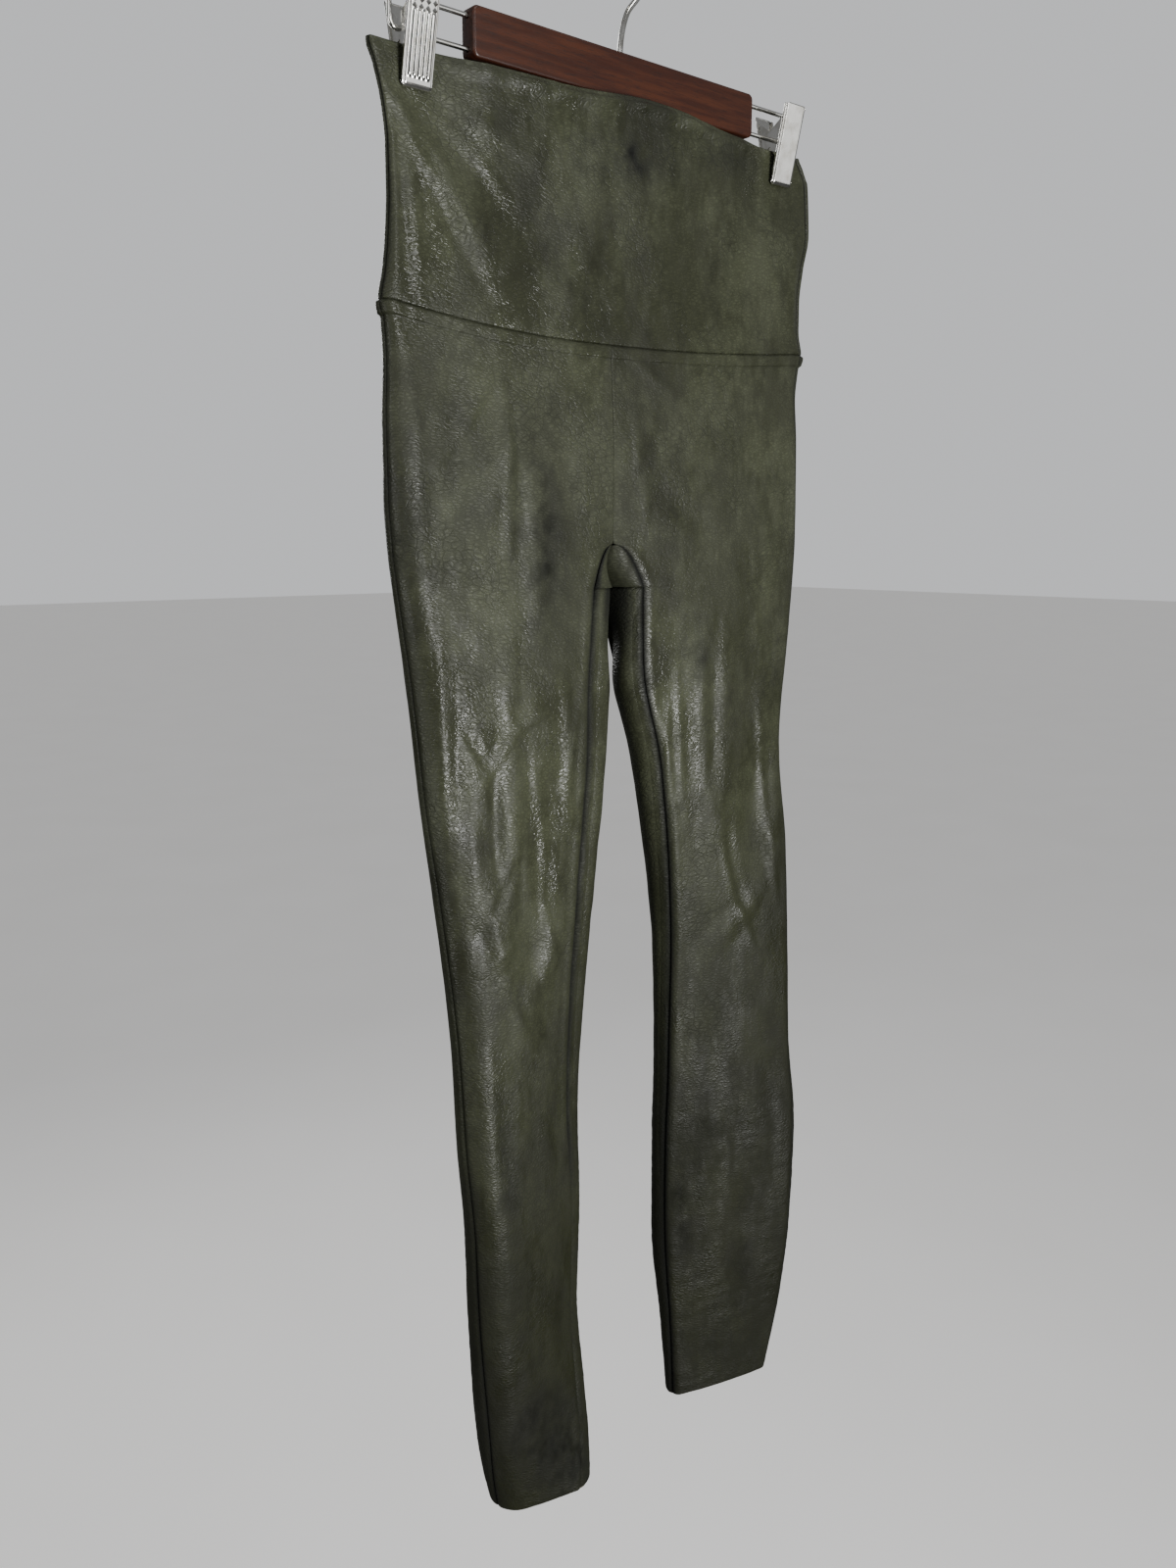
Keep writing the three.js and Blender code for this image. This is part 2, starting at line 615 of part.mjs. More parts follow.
// A round rod along X or Z, for bores.
function rod(radius, length, axis, at) {
  const geometry = new THREE.CylinderGeometry(radius, radius, length, 12);
  if (axis === 'x') geometry.rotateZ(Math.PI / 2);
  if (axis === 'z') geometry.rotateX(Math.PI / 2);
  return geometry.translate(at.x, at.y, at.z);
}

// A path that gives its own corner points one after the other, however far apart they are.
class CornerPath extends THREE.Curve {
  constructor(points) {
    super();
    this.points = points;
  }

  getPoint(t) {
    const at = t * (this.points.length - 1);
    const i = Math.min(this.points.length - 2, Math.floor(at));
    return this.points[i].clone().lerp(this.points[i + 1], at - i);
  }

  getPointAt(t) {
    return this.getPoint(t);
  }

  getTangentAt(t) {
    const reach = 0.5 / (this.points.length - 1);
    const before = this.getPoint(Math.max(0, t - reach));
    return this.getPoint(Math.min(1, t + reach)).sub(before).normalize();
  }
}

function sweep(points, diameter, sides) {
  return wire(new CornerPath(points), diameter, sides, points.length - 1);
}

// Wire with a round section of few sides, along a path.
function wire(path, diameter, sides, steps) {
  const section = new THREE.Shape();
  for (let i = 0; i < sides; i += 1) {
    const angle = ((i + 0.5) / sides) * Math.PI * 2;
    const point = [Math.cos(angle) * (diameter / 2), Math.sin(angle) * (diameter / 2)];
    if (i === 0) section.moveTo(...point);
    else section.lineTo(...point);
  }
  section.closePath();
  return new THREE.ExtrudeGeometry(section, { steps, extrudePath: path, bevelEnabled: false, curveSegments: 1 });
}

// The hanger

const WIRE_HIGH = BAR_TOP - BAR_HEIGHT / 2 + LOOP_SPACING / 2;
const WIRE_LOW = WIRE_HIGH - LOOP_SPACING;

function bar() {
  const w = BAR_LENGTH / 2 - BAR_ROUND;
  const h = BAR_HEIGHT / 2 - BAR_ROUND;
  const r = BAR_CORNER - BAR_ROUND;
  const outline = new THREE.Shape();
  outline.moveTo(-w + r, -h);
  outline.lineTo(w - r, -h);
  outline.absarc(w - r, -h + r, r, -Math.PI / 2, 0, false);
  outline.absarc(w - r, h - r, r, 0, Math.PI / 2, false);
  outline.absarc(-w + r, h - r, r, Math.PI / 2, Math.PI, false);
  outline.absarc(-w + r, -h + r, r, Math.PI, Math.PI * 1.5, false);
  const depth = BAR_THICKNESS - 2 * BAR_ROUND;
  const blank = new THREE.ExtrudeGeometry(outline, {
    depth, bevelThickness: BAR_ROUND, bevelSize: BAR_ROUND, bevelSegments: 2, curveSegments: 3,
  });
  blank.translate(0, 0, -depth / 2).rotateX(Math.PI / 2).translate(0, 0, BAR_TOP - BAR_HEIGHT / 2);
  let solid = toSolid(blank);
  const boreDepth = LOOP_SEAT + SEAM_GAP + 1;
  for (const side of Object.values(SIDES)) {
    for (const z of [WIRE_HIGH, WIRE_LOW]) {
      const x = side * (BAR_LENGTH / 2 - boreDepth / 2 + 1);
      const bore = rod(LOOP_WIRE / 2 + SEAM_GAP, boreDepth + 1, 'x', new THREE.Vector3(x, 0, z));
      solid = solid.subtract(toSolid(bore));
    }
  }
  const well = HOOK_SEAT + SEAM_GAP;
  const bottom = new THREE.Vector3(0, 0, BAR_TOP - well / 2 + 0.5);
  const hookBore = rod(HOOK_WIRE / 2 + SEAM_GAP, well + 1, 'z', bottom);
  return toGeometry(solid.subtract(toSolid(hookBore)));
}

// A straight stem that leans to the right, then three quarters of a circle over the top.
function hook() {
  const centre = new THREE.Vector3(0, 0, -HOOK_RADIUS + HOOK_WIRE / 2);
  const onCircle = (degrees) => new THREE.Vector3(
    centre.x + HOOK_RADIUS * Math.cos(THREE.MathUtils.degToRad(degrees)),
    0,
    centre.z + HOOK_RADIUS * Math.sin(THREE.MathUtils.degToRad(degrees)),
  );
  const stem = [
    new THREE.Vector3(0, 0, BAR_TOP - HOOK_SEAT),
    new THREE.Vector3(0, 0, BAR_TOP),
    new THREE.Vector3(1.8, 0, BAR_TOP + 14),
    new THREE.Vector3(6.5, 0, BAR_TOP + 27),
  ];
  const arc = [-45, -20, 5, 30, 55, 80, 105, 130, 155, 180, 203].map(onCircle);
  return wire(new THREE.CatmullRomCurve3([...stem, ...arc], false, 'centripetal'), HOOK_WIRE, 8, 36);
}

// The long wire loop that comes out of one end of the bar and carries a clip.
function wireLoop(name) {
  const side = SIDES[name];
  const start = side * (BAR_LENGTH / 2 - LOOP_SEAT);
  const bend = side * (LOOP_REACH - LOOP_CORNER);
  const points = [new THREE.Vector3(start, 0, WIRE_HIGH)];
  for (const [z, from] of [[WIRE_HIGH - LOOP_CORNER, Math.PI / 2], [WIRE_LOW + LOOP_CORNER, 0]]) {
    for (let i = 0; i <= 4; i += 1) {
      const angle = from - (i / 4) * (Math.PI / 2);
      const x = bend + side * LOOP_CORNER * Math.cos(angle);
      points.push(new THREE.Vector3(x, 0, z + LOOP_CORNER * Math.sin(angle)));
    }
  }
  points.push(new THREE.Vector3(start, 0, WIRE_LOW));
  return sweep(points, LOOP_WIRE, 8);
}

// One jaw of a clip, a leaning channel of sheet metal with ears for the pivot wire. `face` is -1 for the
// front jaw and 1 for the rear one, which is plain and nests inside the ears of the front one.
function jaw(centreX, face) {
  const front = face < 0;
  const width = front ? CLIP_WIDTH : CLIP_WIDTH - 2 * CLIP_SHEET - 2 * SEAM_GAP;
  const top = front ? CLIP_TOP : CLIP_TOP - 2.5;
  const bottom = front ? CLIP_BOTTOM : CLIP_BOTTOM + 1.5;
  const lean = front ? 12.4 : 9.4;
  const lip = CLIP_BITE + SEAM_GAP;
  const height = top - bottom;
  const slope = lean / height;

  const section = new THREE.Shape();
  const w = width / 2;
  const fluteRise = 0.8;
  section.moveTo(-w, 0);
  if (front) {
    const pitch = (width - 2 * CLIP_SHEET) / CLIP_FLUTES;
    for (let i = 0; i < CLIP_FLUTES; i += 1) {
      const x = -w + CLIP_SHEET + i * pitch;
      section.lineTo(x, 0);
      section.lineTo(x + pitch * 0.25, -fluteRise);
      section.lineTo(x + pitch * 0.75, -fluteRise);
    }
    section.lineTo(w - CLIP_SHEET, 0);
  }
  section.lineTo(w, 0);
  section.lineTo(w, CLIP_FLANGE);
  section.lineTo(w - CLIP_SHEET, CLIP_FLANGE);
  section.lineTo(w - CLIP_SHEET, CLIP_SHEET);
  section.lineTo(-w + CLIP_SHEET, CLIP_SHEET);
  section.lineTo(-w + CLIP_SHEET, CLIP_FLANGE);
  section.lineTo(-w, CLIP_FLANGE);
  const plate = new THREE.ExtrudeGeometry(section, { depth: height, bevelEnabled: false });

  // The channel stands on the lip and leans away from the cloth as it rises.
  const shear = new THREE.Matrix4().makeShear(0, 0, 0, 0, 0, -slope);
  plate.applyMatrix4(shear).translate(0, -lip - 3.2, 0);

  const pivotHeight = WIRE_LOW - bottom;
  const ear = new THREE.Shape();
  const outerY = (z) => -lip - 3.2 - slope * z;
  ear.moveTo(outerY(pivotHeight - 15) + 1, pivotHeight - 15);
  ear.lineTo(-1.4, pivotHeight - 5.6);
  ear.lineTo(2.8, pivotHeight - 3);
  ear.lineTo(2.8, pivotHeight + 3);
  ear.lineTo(outerY(pivotHeight + 15) + 1, pivotHeight + 15);
  let solid = toSolid(plate);
  for (const side of [-1, 1]) {
    solid = solid.add(toSolid(earSheet(ear, side > 0 ? w - CLIP_SHEET : -w)));
  }
  const lipBlock = new THREE.BoxGeometry(width, 3.4, 4.2).translate(0, -lip - 1.7, 2.1);
  solid = solid.add(toSolid(lipBlock));
  const bore = rod(LOOP_WIRE / 2 + SEAM_GAP, width + 4, 'x', new THREE.Vector3(0, 0, pivotHeight));
  solid = solid.subtract(toSolid(bore));
  const geometry = toGeometry(solid);
  if (!front) geometry.rotateZ(Math.PI);
  return geometry.translate(centreX, 0, bottom);
}

// A flat ear cut from sheet: its outline is in Y and Z, and its thickness runs along X from `x`.
function earSheet(outline, x) {
  const sheet = new THREE.ExtrudeGeometry(outline, { depth: CLIP_SHEET, bevelEnabled: false });
  const turn = new THREE.Matrix4().set(0, 0, 1, x, 1, 0, 0, 0, 0, 1, 0, 0, 0, 0, 0, 1);
  return sheet.applyMatrix4(turn);
}

// The coil round the lower wire that presses the two jaws together.
function spring(centreX) {
  const inner = LOOP_WIRE / 2 + SEAM_GAP;
  const outer = 2.5;
  const length = CLIP_WIDTH - 4 * CLIP_SHEET - 6 * SEAM_GAP - 2;
  const turns = 3;
  const profile = [new THREE.Vector2(inner, -length / 2)];
  for (let i = 0; i < turns; i += 1) {
    const from = -length / 2 + (i * length) / turns;
    profile.push(new THREE.Vector2(outer - 0.5, from));
    profile.push(new THREE.Vector2(outer, from + length / turns / 2));
  }
  profile.push(new THREE.Vector2(outer - 0.5, length / 2));
  profile.push(new THREE.Vector2(inner, length / 2));
  profile.push(profile[0].clone());
  const coil = new THREE.LatheGeometry(profile, 10);
  return coil.rotateZ(Math.PI / 2).translate(centreX, 0, WIRE_LOW);
}

// Finishes and assembly

const FINISH = {
  cloth: { color: 0x4a4c38, roughness: 0.42, metalness: 0 },
  wood: { color: 0x4b2317, roughness: 0.38, metalness: 0 },
  steel: { color: 0xc9c9c6, roughness: 0.18, metalness: 1 },
};

const leggings = new THREE.Group();

function addPiece(name, geometry, finish) {
  const mesh = new THREE.Mesh(geometry, new THREE.MeshStandardMaterial(FINISH[finish]));
  mesh.name = name;
  leggings.add(mesh);
}

addPiece('waistband_front', waistband('front'), 'cloth');
addPiece('waistband_back', waistband('back'), 'cloth');
for (const name of Object.keys(SIDES)) {
  addPiece(`leg_front_${name}`, legPanel(name, 'front', frontLengths), 'cloth');
  addPiece(`leg_back_${name}`, legPanel(name, 'back', backLengths), 'cloth');
}
addPiece('gusset', gusset(), 'cloth');
addPiece('hanger_bar', bar(), 'wood');
addPiece('hanger_hook', hook(), 'steel');
for (const [name, x] of Object.entries(CLIP_X)) {
  addPiece(`wire_loop_${name}`, wireLoop(name), 'steel');
  addPiece(`clip_front_jaw_${name}`, jaw(x, -1), 'steel');
  addPiece(`clip_rear_jaw_${name}`, jaw(x, 1), 'steel');
  addPiece(`clip_spring_${name}`, spring(x), 'steel');
}

export default leggings;
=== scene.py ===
"""High-waist faux leather leggings, hung by the waistband from a wooden clip hanger, in a pale studio.

The frame is the part's own: the origin is the inside top of the hanger's hook, +X runs along the bar and the
front faces -Y. The garment's form is worked out in millimetres, as it is measured, and made in metres.
"""

import logging
import math
from collections.abc import Callable, Sequence
from dataclasses import dataclass, field
from enum import Enum

import bmesh
import bpy
import numpy as np
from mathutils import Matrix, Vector

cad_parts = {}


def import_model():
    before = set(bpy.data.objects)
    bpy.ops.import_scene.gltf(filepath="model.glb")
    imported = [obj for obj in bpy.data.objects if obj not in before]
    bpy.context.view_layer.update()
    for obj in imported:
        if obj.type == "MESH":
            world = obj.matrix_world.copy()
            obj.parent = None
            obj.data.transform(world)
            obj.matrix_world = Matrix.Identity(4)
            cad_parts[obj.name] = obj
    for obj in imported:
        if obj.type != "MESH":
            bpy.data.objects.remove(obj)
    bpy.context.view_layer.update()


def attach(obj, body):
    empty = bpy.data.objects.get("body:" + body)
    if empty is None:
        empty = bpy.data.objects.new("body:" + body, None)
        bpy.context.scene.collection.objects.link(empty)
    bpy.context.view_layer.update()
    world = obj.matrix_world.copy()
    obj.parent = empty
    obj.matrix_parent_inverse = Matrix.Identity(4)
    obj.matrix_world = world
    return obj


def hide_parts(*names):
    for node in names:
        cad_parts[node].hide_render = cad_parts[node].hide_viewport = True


log = logging.getLogger("leggings")

MM = 0.001
Colour = tuple[float, float, float, float]

# The garment's form in millimetres, with heights below the hook: first how the cloth meets at a seam
CLOTH_GAP = 0.08
SEAM_DIP, WAIST_SEAM_DIP, CENTRE_DIP = 0.9, 0.2, 0.05
SEAM_REACH = 4.0
EDGE_ROUND = 1.3
# The waistband's top edge, the waist seam and the crotch
WAIST_TOP = -102.3
TOP_RISE, TOP_RISE_X, TOP_RISE_REACH = 4.9, 25.0, 85.0
WAIST_SEAM_SIDE = -241.6
WAIST_SEAM_DROP, WAIST_SEAM_LOW_X = 12.0, -42.0
WAIST_SEAM_LEFT_X, WAIST_SEAM_RIGHT_X = -181.0, 172.0
BACK_SEAM_DROP = 4.0
CROTCH_FRONT, CROTCH_BACK = -382.0, -412.0
FRONT_CENTRE_X, FRONT_CENTRE_X_AT_WAIST, BACK_CENTRE_X = -17.0, -20.0, -4.0
CROTCH_GAP = 1.2
# Where the cloth stops being pinched flat and where it is free, below a clip and beside it
PINCH_BELOW = (4.0, 46.0)
PINCH_BESIDE = (3.0, 42.0)
# Rows of the mesh just under the waist seam, and a distance that is past every edge
UNDER_SEAM = np.array([0, 0.35, 0.8, 1.4, 2.4, 4, 5.8, 7.2, 7.8, 8.4, 9, 9.6, 11])
FAR = 400.0
# The folds and creases are tabled at their heights before this gain
CREASE_GAIN = 1.35


class Side(Enum):
    """A half of the garment as seen from the front, with the sign of its x."""

    LEFT = -1
    RIGHT = 1

    @property
    def key(self) -> str:
        """The side's name in lower case."""
        return self.name.lower()


class Face(Enum):
    """The front or the back of the garment."""

    FRONT = "front"
    BACK = "back"


@dataclass(frozen=True)
class ClipSizes:
    """The sizes of a clip in millimetres, which the cloth between its jaws follows as well."""

    width: float = 18.4
    top: float = -73.5
    bottom: float = -125.5
    sheet: float = 1.0
    flange: float = 2.6
    bite: float = 2.3
    clearance: float = 0.3
    flutes: int = 5


CLIP = ClipSizes()
CLIP_X = {Side.LEFT: -159.5, Side.RIGHT: 153.5}


class SmoothCurve:
    """A curve through points that never overshoots them, read by height."""

    def __init__(self, places: Sequence[float], values: Sequence[float]) -> None:
        """Keeps the points.

        Args:
            places: Heights, from the highest down.
            values: The value at each height.
        """
        self.places = np.asarray(places, float)
        self.values = np.asarray(values, float)
        self.steps = np.diff(self.places)
        rate = np.diff(self.values) / self.steps
        product = rate[:-1] * rate[1:]
        total = rate[:-1] + rate[1:]
        inner = np.where(product > 0, 2 * product / np.where(total == 0, 1, total), 0)
        self.slopes = np.concatenate([[rate[0]], inner, [rate[-1]]])

    def __call__(self, place: float) -> float:
        """Reads the curve.

        Args:
            place: A height.

        Returns:
            The value there.
        """
        t = min(max(place, self.places[-1]), self.places[0])
        i = min(int(np.searchsorted(-self.places[1:-1], -t, "left")), len(self.steps) - 1)
        width = self.steps[i]
        s = (t - self.places[i]) / width
        keep = (1 + 2 * s) * (1 - s) ** 2
        curve = (1 - s) * self.slopes[i] - s * self.slopes[i + 1]
        return keep * self.values[i] + (1 - keep) * self.values[i + 1] + width * s * (1 - s) * curve


def table(names: str, rows: Sequence[Sequence[float]]) -> dict[str, SmoothCurve]:
    """Turns rows of a table into a curve for each column.

    Args:
        names: The columns' names; the first is the height.
        rows: The rows, from the highest down.

    Returns:
        The curves by column name.
    """
    columns = list(zip(*rows))
    return {name: SmoothCurve(columns[0], column) for name, column in zip(names.split()[1:], columns[1:])}


# The body's outline by height: its sides, its fold's radius, its depth and the lobes of the two halves
BODY = table(
    "z left right fold front back front_lobe back_lobe power",
    [
        (-98, -190, 176, 3.2, 10, 6, 0, 0, 1.3),
        (-104, -189, 177, 3.2, 10, 6, 0, 0, 1.3),
        (-118, -184.5, 187, 3.3, 10, 7, 0, 0, 1.3),
        (-135, -180.5, 189, 3.5, 9.5, 8, 0, 0, 1.2),
        (-155, -178.5, 190, 3.8, 9, 9, 0, 0, 1.2),
        (-180, -178.5, 184, 4.3, 9, 9, 0, 0, 1.1),
        (-205, -180, 180.5, 4.9, 8.5, 9.5, 0, 0, 1),
        (-225, -182.5, 180.5, 5.4, 8.5, 10, 0, 0, 1),
        (-243, -186, 184.5, 6, 8, 10, 0, 0, 1),
        (-252, -184.5, 181, 6.4, 8, 10, 0, 0, 1),
        (-275, -183.5, 178, 7.6, 8, 10, 0, 0, 1),
        (-310, -185, 180, 9.6, 7, 9, 1, 1, 1),
        (-350, -185, 180, 11.6, 4.5, 6, 3, 3, 1),
        (-382, -183.5, 179.5, 13, 2, 3, 4.3, 5, 1),
        (-412, -180.4, 177.5, 14, 0, 0, 5, 7, 1),
    ],
)
# The legs' outline by height: middle, half width, fold's radius, depth, turn in degrees and seams
LEG_COLUMNS = "z x y half fold front back turn outseam inseam"
LEGS = {
    Side.LEFT: table(
        LEG_COLUMNS,
        [
            (-412, -92, 0, 88.4, 14, 5, 7, 0, 1, 40),
            (-470, -91.5, 0, 81.8, 15, 6, 8, 1, 1, 40),
            (-540, -90.8, 0, 76.1, 15, 7, 8, 2, 1, 38),
            (-620, -91, -1, 67.6, 15, 7, 8, 5, 1, 38),
            (-700, -91.4, -2, 61.2, 15, 6, 7, 10, 0, 38),
            (-780, -93.3, -3, 58, 15, 6, 7, 14, 0, 36),
            (-860, -90.6, -4, 57.3, 16, 6, 7, 17, 0, 34),
            (-940, -92.6, -6, 53.3, 16, 6, 6, 16, 2, 32),
            (-1010, -88.9, -8, 49.1, 17, 4, 5, 7, 6, 30),
            (-1082, -82.7, -10, 39.6, 19, 2, 2, -16, 9, 26),
        ],
    ),
    Side.RIGHT: table(
        LEG_COLUMNS,
        [
            (-412, 87.2, 0, 90.3, 14, 5, 7, 0, 16, 23),
            (-470, 85.5, 0, 85.1, 15, 6, 8, -1, 16, 22),
            (-540, 93, 0, 71.7, 15, 7, 8, -2, 15, 20),
            (-620, 104.8, -1, 66.8, 14, 7, 8, -6, 14, 17),
            (-700, 111, -2, 62.4, 13, 6, 7, -12, 13, 15),
            (-780, 113.3, -3, 61.1, 12, 6, 7, -16, 12, 13),
            (-860, 116.5, -4, 64.2, 12, 6, 7, -19, 12, 13),
            (-940, 114, -6, 62.4, 12, 5, 6, -20, 11, 13),
            (-1010, 113, -8, 56.4, 10, 4, 5, -18, 9, 10),
            (-1082, 108.2, -9, 47.3, 8.5, 3, 3, -15, 7, 6),
        ],
    ),
}
# How far in front of the fold the outseam runs
BODY_OUTSEAM = {Side.LEFT: lambda _: 1.0, Side.RIGHT: SmoothCurve((-98, -243, -412), (6, 9, 16))}


@dataclass(frozen=True)
class Crease:
    """A soft ridge (rise above 0) or trough (below 0) between two points of one face.

    `bow` bends it sideways in the middle, and `lean` makes one of its flanks steeper than the other.
    """

    x0: float
    z0: float
    x1: float
    z1: float
    rise: float
    reach: float
    bow: float = 0.0
    lean: float = 0.0


def each(kind: type, *rows: tuple[float, ...]) -> list:
    """Makes one of a kind from each row of a table."""
    return [kind(*row) for row in rows]


# The largest folds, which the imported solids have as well
FOLDS = {
    Face.FRONT: each(
        Crease,
        (-146, -136, -92, -195, -1.8, 13),
        (-160, -150, -118, -210, 1.8, 9),
        (140, -130, 84, -200, -1.5, 13),
        (-130, -370, -92, -300, 1.6, 11),
        (-88, -330, -86, -440, 1.4, 9),
        (20, -345, 74, -375, -1.2, 10),
        (-118, -560, -128, -700, 2.2, 11),
        (-80, -540, -96, -690, -1.8, 11),
        (-104, -700, -70, -640, 1.8, 10),
        (62, -480, 88, -650, 1.8, 12),
        (118, -520, 132, -680, -1.8, 12),
        (84, -690, 132, -650, 1.6, 10),
    ),
    Face.BACK: each(
        Crease,
        (130, -130, 70, -215, -1.8, 14),
        (-140, -128, -80, -205, -1.6, 14),
        (-60, -300, -95, -400, 1.6, 12),
        (70, -300, 96, -400, -1.6, 12),
        (-30, -440, -70, -560, -2, 12),
        (46, -440, 88, -560, 1.8, 12),
        (-110, -640, -70, -700, 2, 11),
        (92, -650, 136, -700, -2, 11),
    ),
}

# Finer creases, over the folds
CREASES = {
    Face.FRONT: each(
        Crease,
        # The waistband's pull from the left clip and its corner
        (-172, -134, -128, -196, 0.9, 4.5, 3),
        (-163, -130, -114, -236, -1.2, 6, 5),
        (-150, -132, -98, -176, 0.8, 4.5, -2),
        (-138, -124, -76, -152, 0.7, 5, 2),
        (-188, -122, -140, -168, 0.9, 4, -3),
        (-176, -150, -177, -240, 0.8, 3.2, 1),
        (-168, -160, -162, -238, 0.7, 4, -2),
        (-172, -156, -170, -236, -0.6, 2.6),
        # The pull from the right clip
        (160, -134, 146, -218, 0.7, 5, 2),
        (146, -132, 96, -196, -0.8, 6, -3),
        (138, -126, 56, -160, -0.6, 7, 3),
        (172, -140, 168, -226, 0.8, 4),
        # The middle of the waistband
        (-95, -112, -2, -110, 0.7, 4.5, 1),
        (-70, -124, 8, -121, -0.5, 5, -1),
        (-96, -152, -30, -228, -0.7, 13, 4),
        (-6, -138, 26, -222, 0.6, 12, -5),
        (60, -165, 92, -232, -0.6, 11, 3),
        (-20, -128, -44, -180, 0.5, 8),
        # The hips
        (-156, -336, -116, -282, 1.2, 5, 1, 0.3),
        (-151, -309, -126, -277, 0.8, 3.4),
        (-162, -352, -140, -322, -0.7, 5),
        (-109, -288, -108, -388, 1.1, 4.5, -1),
        (-99, -300, -96, -372, -0.7, 4.5),
        (1, -296, 3, -338, 0.9, 3),
        (8, -330, 12, -372, 0.5, 4),
        (-6, -256, 34, -280, 0.9, 4, 1),
        (34, -262, 62, -300, -0.5, 6),
        (-173, -270, -170, -398, 0.8, 5, -2),
        (-140, -270, -146, -330, -0.6, 8),
        (70, -300, 66, -390, -0.5, 10, 4),
        (120, -290, 128, -400, 0.6, 9, -3),
        (-58, -300, -50, -388, -0.6, 10, 4),
        # The left thigh and knee
        (-160, -440, -158, -600, 0.9, 3.6, 2),
        (-150, -465, -152, -560, -0.8, 3.6),
        (-137, -512, -139, -622, 1.5, 8, 2, 0.3),
        (-110, -430, -109, -520, 0.9, 7, 2),
        (-109, -516, -113, -630, 1.4, 7, -2, -0.3),
        (-124, -512, -122, -606, -1.2, 5, 1),
        (-148, -486, -128, -524, -1.2, 4, 2),
        (-128, -528, -104, -500, 1.1, 4.5, -2),
        (-104, -500, -84, -492, 0.9, 4),
        (-90, -530, -84, -612, 1.1, 4, -3),
        (-85, -612, -80, -650, 0.8, 3.6),
        (-97, -520, -95, -600, -0.8, 4),
        (-63, -478, -60, -570, 1.1, 5, 1),
        (-50, -484, -61, -536, 0.9, 3.5, 1),
        (-142, -632, -108, -590, -1.0, 4, 2),
        (-134, -616, -124, -654, 0.7, 5),
        (-140, -658, -108, -640, 1.1, 3.8, -1),
        (-134, -668, -104, -652, -0.8, 4),
        (-90, -664, -80, -684, 0.6, 3.6),
        (-118, -672, -100, -722, 0.7, 6, 2),
        # The left calf
        (-120, -740, -124, -830, -0.8, 8, 3),
        (-88, -750, -84, -850, 0.8, 9, -3),
        (-104, -866, -98, -960, -0.7, 9, 2),
        (-80, -900, -84, -990, 0.7, 8, -2),
        (-118, -930, -96, -1010, 0.6, 7, 3),
        (-104, -1030, -70, -1046, -0.5, 6),
        # The right thigh and knee
        (42, -470, 50, -570, 0.9, 3.4, 1),
        (34, -502, 36, -560, 0.7, 3),
        (66, -458, 63, -522, 1.0, 4.5, 1),
        (88, -438, 91, -592, 1.5, 8, 2, 0.3),
        (76, -470, 76, -560, -1.0, 4.5, 1),
        (86, -588, 112, -668, 1.2, 4, 3, -0.3),
        (112, -668, 132, -712, 0.9, 4),
        (96, -600, 122, -676, -1.1, 6, 3),
        (128, -500, 150, -664, 1.2, 4.5, 4),
        (148, -540, 152, -650, 0.9, 7, 1),
        (114, -440, 117, -520, -0.7, 8, 1),
        (138, -560, 136, -640, -0.8, 5),
        # The right calf
        (92, -730, 96, -830, -0.7, 8, 2),
        (120, -750, 126, -860, 0.8, 9, -3),
        (142, -800, 146, -900, -0.7, 6, -2),
        (88, -860, 92, -970, 0.6, 7, 2),
        (116, -900, 112, -1010, -0.6, 9, -2),
    ),
    Face.BACK: each(
        Crease,
        (166, -130, 122, -206, 0.9, 5, -4),
        (154, -128, 96, -220, -1.1, 7, -4),
        (140, -126, 66, -158, 0.7, 5, 2),
        (-162, -130, -132, -214, 0.9, 5, 3),
        (-148, -128, -88, -180, -0.9, 6, 3),
        (-136, -124, -60, -150, 0.7, 6),
        (-40, -130, -20, -226, -0.7, 12, 4),
        (30, -140, 46, -230, 0.6, 12, -4),
        (-150, -290, -110, -350, 1.0, 6, 2),
        (140, -280, 112, -350, -0.9, 7, 2),
        (-20, -340, -66, -408, -1.2, 7, 4),
        (16, -345, 58, -404, 1.2, 7, -3),
        (-44, -410, -120, -452, 1.2, 6, 5, 0.3),
        (34, -412, 112, -446, 1.1, 6, -4, 0.3),
        (-60, -436, -128, -486, -1.0, 6, 5),
        (52, -440, 124, -482, -1.0, 6, -5),
        (-100, -500, -92, -600, 1.2, 8, 3),
        (-140, -490, -138, -600, 0.8, 5, 1),
        (100, -500, 112, -610, -1.1, 8, 3),
        (136, -480, 142, -610, 0.9, 5, -2),
        (-128, -640, -84, -668, -1.2, 5, 2),
        (-130, -664, -76, -700, 1.2, 5, 3),
        (-118, -700, -70, -716, -1.0, 5, -2),
        (80, -640, 140, -660, -1.1, 5, 2),
        (84, -668, 150, -696, 1.2, 5, 3),
        (94, -700, 144, -716, -0.9, 5, -2),
        (-110, -740, -100, -860, 0.9, 9, 3),
        (122, -740, 116, -870, 0.9, 9, -3),
        (-84, -860, -90, -990, -0.8, 8, 2),
        (100, -880, 110, -1000, -0.8, 8, 2),
    ),
}


@dataclass(frozen=True)
class DarkPatch:
    """A soft dark patch in one face's colour, between two points; partly painted shade, as under the
    waistband's roll, partly uneven tone.
    """

    x0: float
    z0: float
    x1: float
    z1: float
    reach: float
    depth: float
